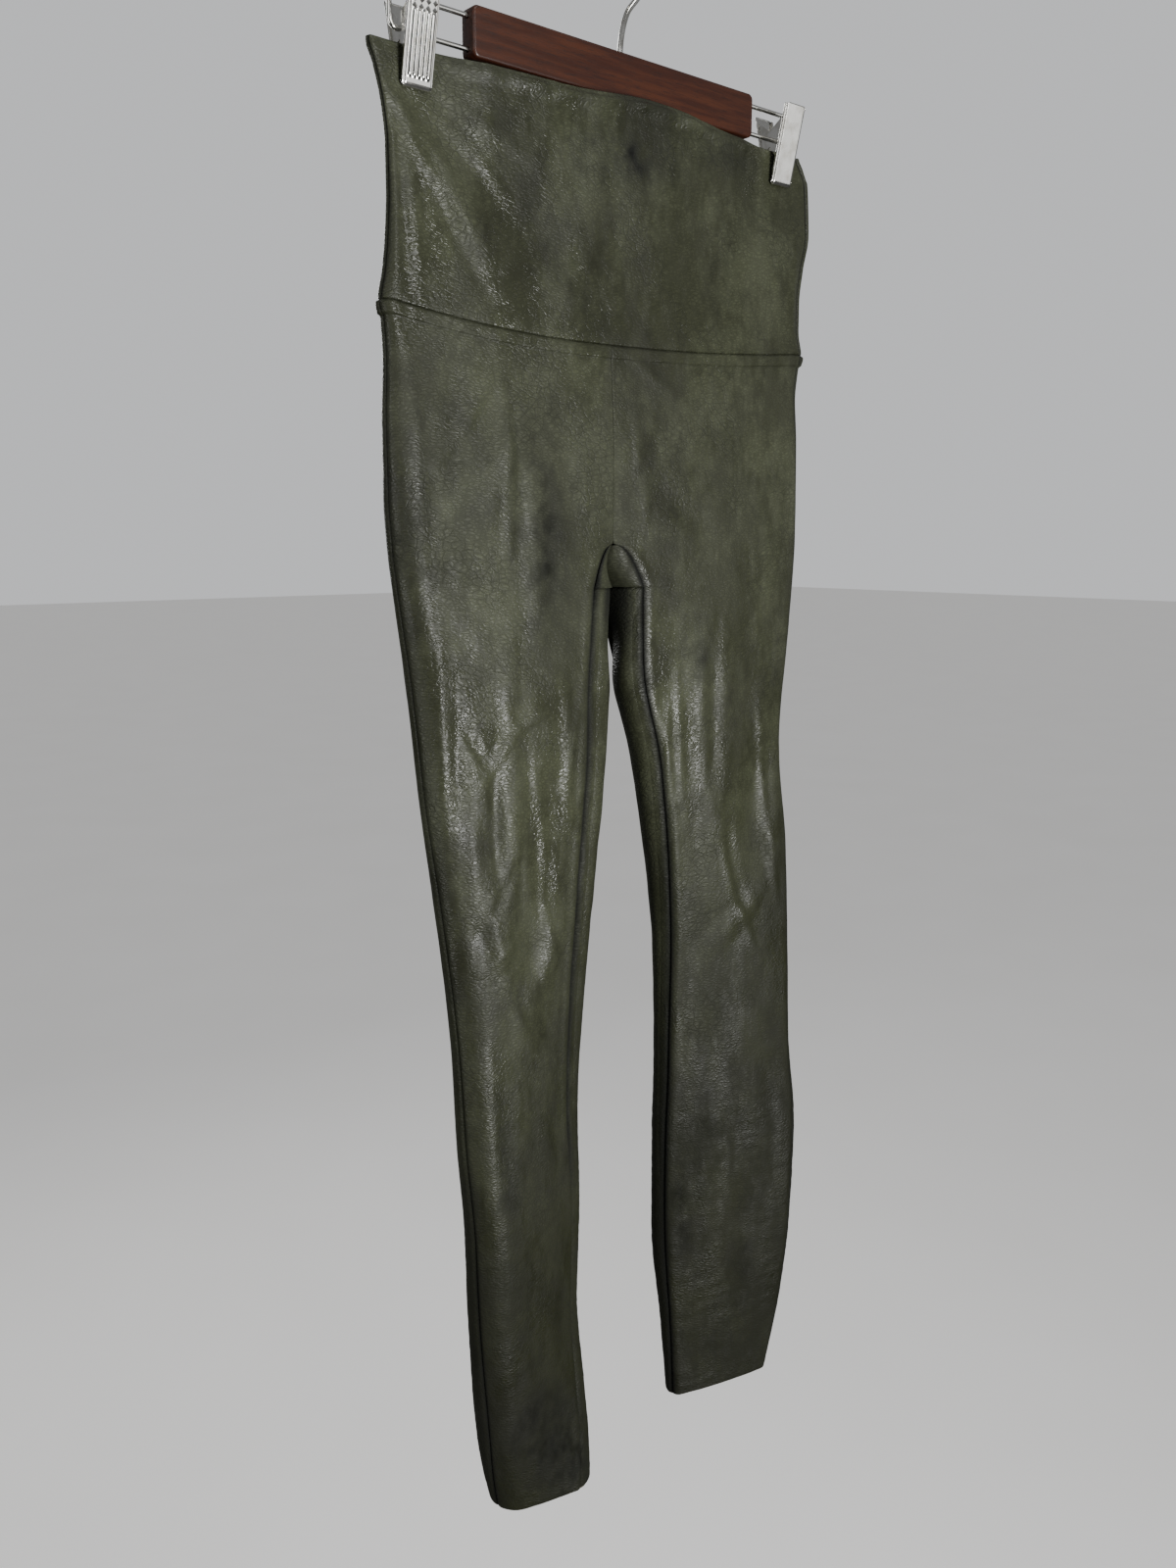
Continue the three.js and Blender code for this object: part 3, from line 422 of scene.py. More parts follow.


# Dark patches on each face: painted shade under the waistband's roll, and uneven darker tone elsewhere
DARK_PATCHES = {
    Face.FRONT: each(
        DarkPatch,
        (-112, -138, -34, -234, 19, 0.15),
        (-40, -141, 36, -133, 14, 0.38),
        (-12, -126, 6, -150, 12, 0.36),
        (69, -121, 120, -116, 11, 0.28),
        (-130, -330, 40, -345, 55, 0.08),
        (-82, -306, -80, -438, 20, 0.18),
        (-77, -362, -78, -404, 12, 0.34),
        (-176, -372, -174, -398, 10, 0.2),
        (-150, -396, -132, -402, 9, 0.18),
        (50, -456, 74, -464, 9, 0.22),
        (64, -440, 62, -476, 7, 0.2),
        (-126, -758, -122, -826, 11, 0.26),
        (-100, -792, -84, -800, 8, 0.2),
        (-100, -1010, -60, -1070, 26, 0.55),
        (84, -800, 92, -850, 9, 0.2),
        (66, -900, 72, -950, 8, 0.3),
        (120, -960, 96, -1040, 14, 0.2),
    ),
    Face.BACK: each(
        DarkPatch,
        (120, -140, 40, -220, 20, 0.14),
        (-30, -132, 24, -138, 12, 0.22),
        (-90, -300, -84, -400, 18, 0.16),
        (96, -330, 88, -410, 16, 0.16),
        (-110, -560, -96, -600, 12, 0.2),
        (110, -760, 118, -830, 12, 0.22),
        (-96, -900, -88, -980, 12, 0.22),
        (104, -980, 110, -1050, 16, 0.22),
    ),
}


def smoothstep(value: np.ndarray, start: float, end: float) -> np.ndarray:
    """Rises smoothly from 0 at start to 1 at end."""
    t = np.clip((np.asarray(value, float) - start) / (end - start), 0, 1)
    return t * t * (3 - 2 * t)


def bell(value: np.ndarray, reach: float) -> np.ndarray:
    """A rounded bump of height 1 that ends at plus and minus reach."""
    t = np.clip(np.abs(np.asarray(value, float)) / reach, 0, 1)
    return np.cos(t * math.pi / 2) ** 2


def wander(x: np.ndarray, z: np.ndarray, cell_x: float, cell_z: float, seed: int) -> np.ndarray:
    """Smooth uneven values from -1 to 1 over a plane.

    Args:
        x: Places across.
        z: Places along.
        cell_x: Spacing of the bumps across.
        cell_z: Spacing of the bumps along.
        seed: Chooses the pattern.

    Returns:
        A value for each place.
    """
    size = 64
    grid = np.random.default_rng(seed).uniform(-1, 1, (size, size))
    u, v = np.asarray(x, float) / cell_x, np.asarray(z, float) / cell_z
    iu, iv = np.floor(u).astype(int), np.floor(v).astype(int)
    fu, fv = u - iu, v - iv
    fu, fv = fu * fu * (3 - 2 * fu), fv * fv * (3 - 2 * fv)
    a, b = grid[iu % size, iv % size], grid[(iu + 1) % size, iv % size]
    c, d = grid[iu % size, (iv + 1) % size], grid[(iu + 1) % size, (iv + 1) % size]
    return (a * (1 - fu) + b * fu) * (1 - fv) + (c * (1 - fu) + d * fu) * fv


def clip_pinch(x: np.ndarray, z: np.ndarray) -> np.ndarray:
    """How firmly the clips press the cloth flat.

    Args:
        x: Places across.
        z: Their heights.

    Returns:
        1 between a clip's jaws, falling to 0 far from both clips.
    """
    below = 1 - smoothstep(-np.asarray(z, float), *(-CLIP.bottom + reach for reach in PINCH_BELOW))
    beside = [CLIP.width / 2 + reach for reach in PINCH_BESIDE]
    near = [1 - smoothstep(np.abs(x - at), *beside) for at in CLIP_X.values()]
    return below * np.maximum(*near)


def crease_height(creases: Sequence[Crease], x: np.ndarray, z: np.ndarray) -> np.ndarray:
    """Adds up what a list of creases raises at each place.

    Args:
        creases: The creases of one face.
        x: Places across the face.
        z: Their heights.

    Returns:
        The rise in millimetres.
    """
    total = np.zeros(np.broadcast(x, z).shape)
    for crease in creases:
        run_x, run_z = crease.x1 - crease.x0, crease.z1 - crease.z0
        length = math.hypot(run_x, run_z)
        t = ((x - crease.x0) * run_x + (z - crease.z0) * run_z) / length**2
        along = np.clip(t, 0, 1)
        across = ((x - crease.x0) * run_z - (z - crease.z0) * run_x) / length
        across = across - crease.bow * np.sin(along * math.pi)
        off = np.hypot(across, (t - along) * length)
        skewed = off * (1 + crease.lean * np.sign(across))
        total = total + crease.rise * bell(skewed, crease.reach * 1.6) * (0.4 + 0.6 * bell(2 * t - 1, 1.4))
    return total


def dark_patch_shade(grid: np.ndarray, z: np.ndarray) -> np.ndarray:
    """How dark the dark patches make each place, broken up unevenly; in part they are painted shade.

    Args:
        grid: What Surface.read gave.
        z: The heights of the same points.

    Returns:
        A shade from 0 up.
    """
    x, normal_y = grid[..., 0], grid[..., 3]
    total = np.zeros(x.shape)
    for face, here in ((Face.FRONT, normal_y < 0), (Face.BACK, normal_y >= 0)):
        for dark_spot in DARK_PATCHES[face]:
            run_x, run_z = dark_spot.x1 - dark_spot.x0, dark_spot.z1 - dark_spot.z0
            share = ((x - dark_spot.x0) * run_x + (z - dark_spot.z0) * run_z) / (run_x**2 + run_z**2)
            share = np.clip(share, 0, 1)
            off = np.hypot(x - dark_spot.x0 - run_x * share, z - dark_spot.z0 - run_z * share)
            total = total + np.where(here, dark_spot.depth * bell(off, dark_spot.reach * 1.7), 0)
    broken = 0.8 + 0.55 * wander(x, z, 8, 10, 21) + 0.4 * wander(x, z, 3.6, 4.4, 22)
    return total * np.clip(broken, 0, 2)


class Chain:
    """Points in a level plane round one half of the garment, read by the length along them."""

    def __init__(self, points: np.ndarray, side: Side) -> None:
        """Keeps the points.

        Args:
            points: One row for each point, x and y.
            side: The half that they go round.
        """
        self.points = np.asarray(points, float)
        self.side = side
        step = np.hypot(*np.diff(self.points, axis=0).T)
        self.lengths = np.concatenate([[0], np.cumsum(step)])
        self.total = self.lengths[-1]
        self.fold = self.outseam = self.inseam = 0.0

    def at(self, length: np.ndarray) -> np.ndarray:
        """Points at lengths along the chain, one row each."""
        x = np.interp(length, self.lengths, self.points[:, 0])
        return np.stack([x, np.interp(length, self.lengths, self.points[:, 1])], -1)

    def normals(self, length: np.ndarray) -> np.ndarray:
        """Level directions out of the garment.

        Args:
            length: Lengths along the chain.

        Returns:
            A unit direction for each, x and y.
        """
        run = self.at(np.asarray(length) + 1.5) - self.at(np.asarray(length) - 1.5)
        run = run / np.maximum(np.hypot(run[..., 0], run[..., 1])[..., None], 1e-9)
        return np.stack([-run[..., 1], run[..., 0]], -1) * self.side.value


def mix(a: float, b: float, t: float) -> float:
    """The value a share t of the way from a to b."""
    return a + (b - a) * t


def front_split_x(z: float) -> float:
    """Where the two front legs meet, or would meet below the crotch.

    Args:
        z: A height.

    Returns:
        The x of the centre-front seam there.
    """
    if z < CROTCH_FRONT:
        return mix(FRONT_CENTRE_X, BACK_CENTRE_X, (CROTCH_FRONT - z) / (CROTCH_FRONT - CROTCH_BACK))
    return mix(FRONT_CENTRE_X, FRONT_CENTRE_X_AT_WAIST, (z - CROTCH_FRONT) / (WAIST_SEAM_SIDE - CROTCH_FRONT))


def arch_line(top: np.ndarray, edge: np.ndarray, t: np.ndarray) -> np.ndarray:
    """A quarter wave from the top of the arch to its edge.

    Args:
        top: The x and y of the top.
        edge: The x and y of the edge.
        t: Shares of the way, 0 at the top and 1 at the edge.

    Returns:
        A point for each share, x and y.
    """
    angle = np.asarray(t) * math.pi / 2
    x = top[0] + (edge[0] - top[0]) * (1 - np.cos(angle))
    return np.stack([x, top[1] + (edge[1] - top[1]) * np.sin(angle)], -1)


def leg_chain(side: Side, z: float) -> Chain:
    """The ring of one leg, from its inner back corner round the outside and the front, and in again.

    Args:
        side: The leg.
        z: A height below the crotch.

    Returns:
        The chain, with the lengths of its fold and seams.
    """
    leg = {name: curve(z) for name, curve in LEGS[side].items()}
    half, fold = leg["half"], leg["fold"]
    straight = half - fold
    turn = math.radians(leg["turn"])

    def place(out: np.ndarray, depth: np.ndarray) -> np.ndarray:
        """Places points of the leg in the part.

        Args:
            out: How far outwards each is from the leg's middle.
            depth: How far back it is.

        Returns:
            A row for each, x and y.
        """
        bulge = np.maximum(0, 1 - (out / half) ** 2) * np.where(depth > 0, leg["back"], leg["front"])
        x, y = side.value * out, depth + np.sign(depth) * bulge
        turned = [x * math.cos(turn) - y * math.sin(turn), x * math.sin(turn) + y * math.cos(turn)]
        return np.stack([turned[0] + leg["x"], turned[1] + leg["y"]], -1)

    def arc(start: float, end: float, at: float) -> np.ndarray:
        """Points round a fold whose middle lies the distance at from the leg's middle."""
        angle = np.linspace(start, end, 15)
        return place(at + fold * np.cos(angle), fold * np.sin(angle))

    quarter = math.pi / 2
    across = np.linspace(-straight, straight, 41)
    back_face = place(across[:-1], np.full(40, fold))
    front_face = place(across[::-1][1:-1], np.full(39, -fold))
    outer = np.concatenate([arc(quarter, 0, straight), arc(0, -quarter, straight)[1:]])
    half_outer = Chain(np.concatenate([back_face, arc(quarter, 0, straight)]), side)
    to_inner = np.concatenate([back_face, outer, front_face, arc(-quarter, -2 * quarter, -straight)])
    ring = Chain(np.concatenate([to_inner, arc(-2 * quarter, -3 * quarter, -straight)[1:]]), side)
    inseam = Chain(to_inner, side).total - leg["inseam"]
    settled = float(smoothstep(CROTCH_BACK - z, 0, 75))
    apex = np.array([BACK_CENTRE_X + side.value * CROTCH_GAP, leg["y"] + fold])
    moved = apex + (back_face[0] - apex) * settled
    t = np.linspace(0, 1, 41)
    inner = arch_line(moved, ring.at(inseam), 1 - t)
    inner = inner + (ring.at(inseam + (ring.total - inseam) * t) - inner) * settled
    keep = ring.lengths < inseam - 0.5
    outer_part = ring.points[keep].copy()
    outer_part[0] = moved
    chain = Chain(np.concatenate([outer_part, inner]), side)
    last = len(outer_part) - 1
    chain.fold = half_outer.total + chain.lengths[last] - ring.lengths[last]
    chain.outseam = chain.fold + leg["outseam"]
    chain.inseam = chain.lengths[last + 1]
    return chain


def arch_feet() -> dict[Side, float]:
    """Finds where the edge of the arch stands on each leg.

    Returns:
        Its x by side.
    """
    feet = {}
    for side in Side:
        chain = leg_chain(side, CROTCH_BACK)
        feet[side] = float(chain.at(chain.inseam)[0])
    return feet


ARCH_FOOT = arch_feet()


def front_end_x(side: Side, z: float) -> float:
    """Where the front of one half ends: the centre front, or lower down the edge of the arch.

    Args:
        side: The half.
        z: A height.

    Returns:
        The x of its end.
    """
    if z >= CROTCH_FRONT:
        return front_split_x(z)
    opened = math.sqrt(min(1, (CROTCH_FRONT - z) / (CROTCH_FRONT - CROTCH_BACK)))
    return mix(FRONT_CENTRE_X, ARCH_FOOT[side], opened)


def body_chain(side: Side, z: float) -> Chain:
    """The half of the body on one side, from the centre back round the fold to the centre front.

    Args:
        side: The half.
        z: A height above the crotch.

    Returns:
        The chain, with the lengths of its fold and seams.
    """
    body = {name: curve(z) for name, curve in BODY.items()}
    outer, fold = body[side.key], body["fold"]
    middle, half = (body["left"] + body["right"]) / 2, (body["right"] - body["left"]) / 2

    def line(end: float, sign: int, face: str, split: float) -> np.ndarray:
        """Points of the front or the back, from the outer fold in to the centre.

        Args:
            end: The x where they end.
            sign: 1 for the back, -1 for the front.
            face: The name of the face in the table of the body.
            split: The x where the two halves part.

        Returns:
            A row for each, x and y.
        """
        quarter = np.linspace(0, math.pi / 2, 15)[1:]
        round_part = outer - side.value * fold * (1 - np.cos(quarter))
        x = np.concatenate([round_part, np.linspace(round_part[-1], end, 46)[1:]])
        wide = np.maximum(0, 1 - ((x - middle) / half) ** 2) ** body["power"]
        narrow = np.maximum(0, 1 - ((x - (outer + split) / 2) / ((outer - split) / 2)) ** 2)
        from_fold = np.minimum(1, np.abs(outer - x) / fold)
        full = fold * np.sqrt(np.maximum(0, 1 - (1 - from_fold) ** 2))
        full = full + wide * body[face] + narrow * body[f"{face}_lobe"]
        depth = full + (np.minimum(full, CLIP.bite) - full) * clip_pinch(x, z)
        return np.stack([x, sign * depth], -1)

    back = line(BACK_CENTRE_X, 1, "back", BACK_CENTRE_X)
    front = line(front_end_x(side, z), -1, "front", front_split_x(z))
    tip = np.array([[outer, 0.0]])
    chain = Chain(np.concatenate([back[::-1], tip, front]), side)
    chain.fold = chain.lengths[len(back)]
    chain.outseam = chain.fold + BODY_OUTSEAM[side](z)
    chain.inseam = chain.total
    return chain


class Surface:
    """The cloth between two seams of one half, as columns of even share sampled at many heights."""

    def __init__(
        self,
        side: Side,
        heights: np.ndarray,
        ends: Callable[[Chain], tuple[float, float]],
        shares: np.ndarray,
    ) -> None:
        """Samples the chains.

        Args:
            side: The half of the garment.
            heights: Even heights, from the highest down.
            ends: Gives the lengths of a chain at which the columns start and end.
            shares: Each column's share of the way between them.
        """
        self.heights = heights
        samples = []
        for z in heights:
            chain = body_chain(side, z) if z >= CROTCH_BACK else leg_chain(side, z)
            start, end = ends(chain)
            length = start + (end - start) * shares
            samples.append(np.concatenate([chain.at(length), chain.normals(length), length[:, None]], 1))
        self.samples = np.array(samples)

    def read(self, z: np.ndarray) -> np.ndarray:
        """Reads the cloth at a grid of heights.

        Args:
            z: Heights, one row for each row of the mesh and one column for each share.

        Returns:
            For each: x, y, the normal's x and y, and the length along the chain.
        """
        step = (self.heights[0] - self.heights[-1]) / (len(self.heights) - 1)
        at = np.clip((self.heights[0] - z) / step, 0, len(self.heights) - 1.000001)
        low = at.astype(int)
        share = (at - low)[..., None]
        columns = np.arange(self.samples.shape[1])[None, :].repeat(z.shape[0], 0)
        return self.samples[low, columns] * (1 - share) + self.samples[low + 1, columns] * share


def waist_seam(face: Face, x: np.ndarray) -> np.ndarray:
    """Height of the waist seam, which sags to the left of the middle at the front.

    Args:
        face: The front or the back.
        x: Places across it.

    Returns:
        The height at each place.
    """
    if face is Face.BACK:
        return WAIST_SEAM_SIDE - BACK_SEAM_DROP * bell(x, WAIST_SEAM_RIGHT_X)
    end = np.where(x < WAIST_SEAM_LOW_X, WAIST_SEAM_LEFT_X, WAIST_SEAM_RIGHT_X)
    reach = np.abs(end - WAIST_SEAM_LOW_X)
    return WAIST_SEAM_SIDE - WAIST_SEAM_DROP * np.maximum(0, 1 - ((x - WAIST_SEAM_LOW_X) / reach) ** 2)


def waist_top(face: Face, x: np.ndarray) -> np.ndarray:
    """Height of the waistband's folded top edge, which rides up over the bar at the front.

    Args:
        face: The front or the back.
        x: Places across it.

    Returns:
        The height at each place.
    """
    if face is Face.BACK:
        return np.full(np.shape(x), WAIST_TOP)
    return WAIST_TOP + TOP_RISE * bell(np.asarray(x) - TOP_RISE_X, TOP_RISE_REACH)


def relief(grid: np.ndarray, z: np.ndarray) -> np.ndarray:
    """The rise of folds, creases and ripples over the plain form.

    Args:
        grid: What Surface.read gave.
        z: The heights of the same points.

    Returns:
        The rise in millimetres.
    """
    x, normal_y, length = grid[..., 0], grid[..., 3], grid[..., 4]
    total = np.zeros(x.shape)
    for face, here in ((Face.FRONT, normal_y < 0), (Face.BACK, normal_y >= 0)):
        both = crease_height(FOLDS[face], x, z) + crease_height(CREASES[face], x, z)
        total = total + np.where(here, both, 0)
    # Folds fade out towards the sides, and ripples where the clips hold the cloth
    flat = smoothstep(np.abs(normal_y), 0.3, 0.9)
    loose = 1 - clip_pinch(x, z)
    knee = bell(z + 620, 230) * 0.5 + 0.5
    broad = 0.7 * wander(length, z, 24, 60, 5) + 0.42 * wander(length, z, 11, 26, 6)
    upright = 0.75 * wander(length, z, 13, 85, 9) * bell(z + 600, 200)
    shin = smoothstep(-z, 720, 860)
    ripples = 0.27 * wander(length, z, 15, 3.6, 7) * (0.12 + 0.88 * shin)
    creep = 0.1 * wander(length + z * 0.4, z - length * 0.5, 5, 12, 8)
    unevenness = (broad * knee + upright + ripples + creep) * loose * (0.35 + 0.65 * flat)
    return CREASE_GAIN * total * flat + unevenness


@dataclass
class Mesh:
    """Corners in millimetres and faces of four, with a flat place and a painted shade for each corner."""

    points: np.ndarray
    faces: np.ndarray
    cloth: np.ndarray


def closed_wall(
    outer: np.ndarray, inner: np.ndarray, cloth: np.ndarray, skip: np.ndarray | None = None
) -> Mesh:
    """Joins an outer and an inner grid of points into one closed wall.

    Args:
        outer: Rows and columns of outer points.
        inner: The same of inner points.
        cloth: The two cloth coordinates of each, in metres, and how much painted shade it has.
        skip: True for cells that are left out.

    Returns:
        The wall.
    """
    rows, columns = outer.shape[:2]
    ids = np.arange(rows * columns).reshape(rows, columns)
    corners = np.stack([ids[:-1, :-1], ids[:-1, 1:], ids[1:, 1:], ids[1:, :-1]], -1)
    kept = np.ones(corners.shape[:2], bool) if skip is None else ~skip
    cells = corners[kept]
    back = rows * columns
    faces = [cells, cells[:, ::-1] + back]
    padded = np.pad(kept, 1)
    for (dr, dc), (a, b) in {(-1, 0): (1, 0), (1, 0): (3, 2), (0, -1): (0, 3), (0, 1): (2, 1)}.items():
        edge = kept & ~padded[1 + dr : 1 + dr + kept.shape[0], 1 + dc : 1 + dc + kept.shape[1]]
        one, two = corners[edge][:, a], corners[edge][:, b]
        faces.append(np.stack([one, two, two + back, one + back], -1))
    points = np.concatenate([outer.reshape(-1, 3), inner.reshape(-1, 3)])
    faces = np.concatenate(faces)
    used, renamed = np.unique(faces, return_inverse=True)
    both = np.concatenate([cloth.reshape(-1, 3), cloth.reshape(-1, 3)])
    return Mesh(points[used], renamed.reshape(faces.shape), both[used])


def signed_volume(mesh: Mesh) -> float:
    """The volume inside a closed mesh, below 0 if its faces point inwards."""
    a, b, c, d = (mesh.points[mesh.faces[:, i]] for i in range(4))
    return float((np.einsum("ij,ij->i", a, np.cross(b, c)) + np.einsum("ij,ij->i", a, np.cross(c, d))).sum())


def add_mesh(name: str, mesh: Mesh, material: bpy.types.Material) -> bpy.types.Object:
    """Makes a smooth-shaded object of a mesh, in metres and facing out.

    Args:
        name: The object's name.
        mesh: The corners and faces.
        material: What it is made of.

    Returns:
        The object, linked to the scene.
    """
    faces = mesh.faces if signed_volume(mesh) > 0 else mesh.faces[:, ::-1]
    data = bpy.data.meshes.new(name)
    data.vertices.add(len(mesh.points))
    data.vertices.foreach_set("co", (mesh.points * MM).astype(np.float32).ravel())
    data.loops.add(faces.size)
    data.loops.foreach_set("vertex_index", faces.astype(np.int32).ravel())
    data.polygons.add(len(faces))
    data.polygons.foreach_set("loop_start", np.arange(0, faces.size, 4, dtype=np.int32))
    data.update(calc_edges=True)
    data.validate()
    layer = data.uv_layers.new(name="cloth")
    layer.data.foreach_set("uv", mesh.cloth[faces.ravel(), :2].astype(np.float32).ravel())
    shade = data.attributes.new("painted_shade", "FLOAT", "POINT")
    shade.data.foreach_set("value", mesh.cloth[:, 2].astype(np.float32))
    data.polygons.foreach_set("use_smooth", np.ones(len(faces), bool))
    data.materials.append(material)
    made = bpy.data.objects.new(name, data)
    bpy.context.scene.collection.objects.link(made)
    return made


@dataclass(frozen=True)
class Edges:
    """How far each point lies from sewn and free edges, in millimetres, with its painted shade and depth."""

    sewn: np.ndarray
    free: np.ndarray
    shade: np.ndarray
    dip: np.ndarray


def shadow_falloff(distance: np.ndarray, reach: float) -> np.ndarray:
    """1 at an edge, falling to 0 at a distance from it: the falloff of painted shadow along seams and edges.
    """
    return np.clip(1 - distance / reach, 0, 1) ** 0.9


def wall_from(
    grid: np.ndarray, z: np.ndarray, wall: float, edges: Edges, rise: np.ndarray
) -> tuple[np.ndarray, np.ndarray, np.ndarray]:
    """Gives the outer and inner points of a wall of cloth.

    Args:
        grid: What Surface.read gave.
        z: The heights of the same points.
        wall: The cloth's thickness.
        edges: Distances to the edges.
        rise: What the outer face is lifted by, besides the relief.

    Returns:
        The outer grid, the inner grid and the cloth coordinates.
    """
    turned = np.clip(1 - edges.sewn / SEAM_REACH, 0, 1)
    dip = edges.dip * turned**1.6
    # The wall's corners are rounded, but hardly at all at the waist and centre seams, which lie flat
    nearest = np.minimum(edges.sewn, edges.free)
    rounding = 1 - np.sqrt(1 - np.clip(1 - nearest / EDGE_ROUND, 0, 1) ** 2)
    lift = relief(grid, z) * smoothstep(edges.sewn, 0, 6) - dip
    pull = rounding * wall * np.where(edges.dip < WAIST_SEAM_DIP, 0.12, 0.42)
    out = (lift + rise - pull)[..., None]
    inside = (lift - wall + pull)[..., None]
    flat_out = grid[..., :2] + grid[..., 2:4] * out
    flat_in = grid[..., :2] + grid[..., 2:4] * inside
    height = z[..., None]
    cloth = np.stack([grid[..., 4] * MM, z * MM, edges.shade], -1)
    return np.concatenate([flat_out, height], -1), np.concatenate([flat_in, height], -1), cloth


def near_ends(count: int, span: float) -> np.ndarray:
    """Shares that are even in the middle and close together at both ends.

    Args:
        count: How many are even.
        span: The length in millimetres that they are shares of.

    Returns:
        The shares, from 0 to 1.
    """
    fine = np.array([0, 0.35, 0.8, 1.4, 2.2, 3.2]) / span
    middle = np.linspace(4.4 / span, 1 - 4.4 / span, max(3, count))
    return np.concatenate([fine, middle, 1 - fine[::-1]])


@dataclass
class Leggings:
    """The seven pieces of cloth. Sizes are in millimetres, with heights below the hook."""

    material: bpy.types.Material
    band_wall: float = 1.6
    leg_wall: float = 1.3
    hem: float = -1080.5
    allowance_height: float = 8.4
    allowance_rise: float = 1.15
    inseam_sink: float = 3.4
    inseam_puff: float = 0.7
    gusset_ridge_back: float = 9.8
    mesh_pitch: float = 2.3
    leg_rows: int = 285

    def dress(self) -> dict[str, bpy.types.Object]:
        """Makes all the cloth and puts each piece in its node's place.

        Returns:
            The pieces by the names of the nodes that they stand for.
        """
        made = {f"waistband_{face.value}": self.waistband(face) for face in Face}
        for side in Side:
            for face in Face:
                made[f"leg_{face.value}_{side.key}"] = self.leg(side, face)
        made["gusset"] = self.gusset()
        for node, piece in made.items():
            stand_for(piece, node)
        return made

    def waistband(self, face: Face) -> bpy.types.Object:
        """Half of the waistband, from one side seam to the other.

        Args:
            face: The front or the back.

        Returns:
            The piece.
        """
        shares = near_ends(int(184 / self.mesh_pitch), 190)
        heights = np.linspace(WAIST_TOP + TOP_RISE + 2, WAIST_SEAM_SIDE - WAIST_SEAM_DROP - 2, 84)
        halves = []
        for side in Side:
            if face is Face.FRONT:
                surface = Surface(side, heights, lambda c: (c.outseam + CLOTH_GAP / 2, c.total), shares)
            else:
                surface = Surface(side, heights, lambda c: (c.outseam - CLOTH_GAP / 2, 0.0), shares)
            levels = near_ends(int(136 / self.mesh_pitch), 139)[:, None]
            # The edges' heights depend on x, and x on the height, so they are found in two rounds
            x = surface.read(np.full((1, len(shares)), -170.0))[..., 0]
            for _ in range(2):
                top, seam = waist_top(face, x), waist_seam(face, x) + CLOTH_GAP / 2
                z = top + (seam - top) * levels
                x = surface.read(z)[..., 0]
            grid = surface.read(z)
            from_side = np.abs(grid[..., 4] - grid[:, :1, 4])
            grid[..., 4] = np.abs(grid[:, -1:, 4] - grid[..., 4]) * side.value
            sewn = np.minimum(from_side, z - seam)
            # Painted shadow along the waist seam and the side seams, then the dark patches, which are partly
            # painted shade
            shade = np.maximum(0.1 * shadow_falloff(z - seam, 1.6), 0.7 * shadow_falloff(from_side, 1.6))
            shade = np.maximum(shade, dark_patch_shade(grid, z))
            dip = np.where(from_side < z - seam, SEAM_DIP, WAIST_SEAM_DIP)
            down = top - z
            uneven = 1 + 0.7 * wander(grid[..., 4], z, 11, 6, 12)
            # The folded edge stands out as a soft roll with a trough under it, except between the jaws
            roll = 2.4 * bell(down - 5.2, 4.3) - 1.1 * bell(down - 12.5, 3.4)
            roll = roll * uneven * (1 - clip_pinch(x, z))
            edges = Edges(sewn, down, shade, dip)
            outer, inner, cloth = wall_from(grid, z, self.band_wall, edges, roll)
            halves.append((outer, inner, cloth))
        (outer, inner, cloth), right = halves
        joined = [np.concatenate([a, b[:, -2::-1]], 1) for a, b in zip((outer, inner, cloth), right)]
        return add_mesh(f"cloth_waistband_{face.value}", closed_wall(*joined), self.material)

    def leg(self, side: Side, face: Face) -> bpy.types.Object:
        """A front or back leg, from the waist seam to the hem.

        Args:
            side: The leg.
            face: Its front or its back, which goes round the inner thigh as well.

        Returns:
            The piece.
        """
        gap = CLOTH_GAP / 2
        front = face is Face.FRONT
        shares = near_ends(int((146 if front else 160) / self.mesh_pitch), 155)
        above = (lambda c: (c.outseam + gap, c.inseam - gap)) if front else (lambda c: (c.outseam - gap, gap))
        below = above if front else (lambda c: (c.outseam - gap, 0.0))
        # Above the crotch the rows follow the waist seam
        body = Surface(side, np.linspace(WAIST_SEAM_SIDE + 2, CROTCH_BACK, 87), above, shares)
        x = body.read(np.full((1, len(shares)), -250.0))[..., 0]
        for _ in range(2):
            seam = waist_seam(face, x) - gap
            start = seam - UNDER_SEAM[-1]
            levels = np.linspace(0, 1, int(150 / self.mesh_pitch))[1:, None]
            upper_z = np.concatenate([seam - UNDER_SEAM[:, None], start + (CROTCH_BACK - start) * levels])
            x = body.read(upper_z)[:1, :, 0]
        upper = body.read(upper_z)
        # Below it they are level, and close together at the hem
        heights = np.linspace(CROTCH_BACK - CLOTH_GAP, self.hem, 336)
        even_rows = np.linspace(heights[0], self.hem + 4, self.leg_rows)
        rows = np.concatenate([even_rows, self.hem + np.array([3, 2, 1.2, 0.6, 0.2, 0])])
        lower_z = rows[:, None].repeat(len(shares), 1)
        lower = Surface(side, heights, below, shares).read(lower_z)
        offset = upper[-1, :, 4] - lower[0, :, 4]
        lower[..., 4] += offset
        grid, z = np.concatenate([upper, lower]), np.concatenate([upper_z, lower_z])
        # Distances to the waist seam, the outseam and the inseam or centre seam
        down = np.concatenate([seam - upper_z, np.full(lower_z.shape, FAR)])
        to_start = np.abs(grid[..., 4] - grid[:, :1, 4])
        to_end = np.abs(grid[:, -1:, 4] - grid[..., 4])
        if not front:
            to_end = np.hypot(to_end, np.maximum(0, CROTCH_BACK - z))
        inseam = smoothstep(-z, 379, 388) if front else np.zeros(z.shape)
        centre = 0.02 + 0.98 * inseam if front else 0.4 * smoothstep(z, CROTCH_BACK - 1, CROTCH_BACK)
        from_end = to_end * (3.6 - 2.6 * inseam) if front else to_end
        sewn = np.minimum(np.minimum(to_start, from_end), down)
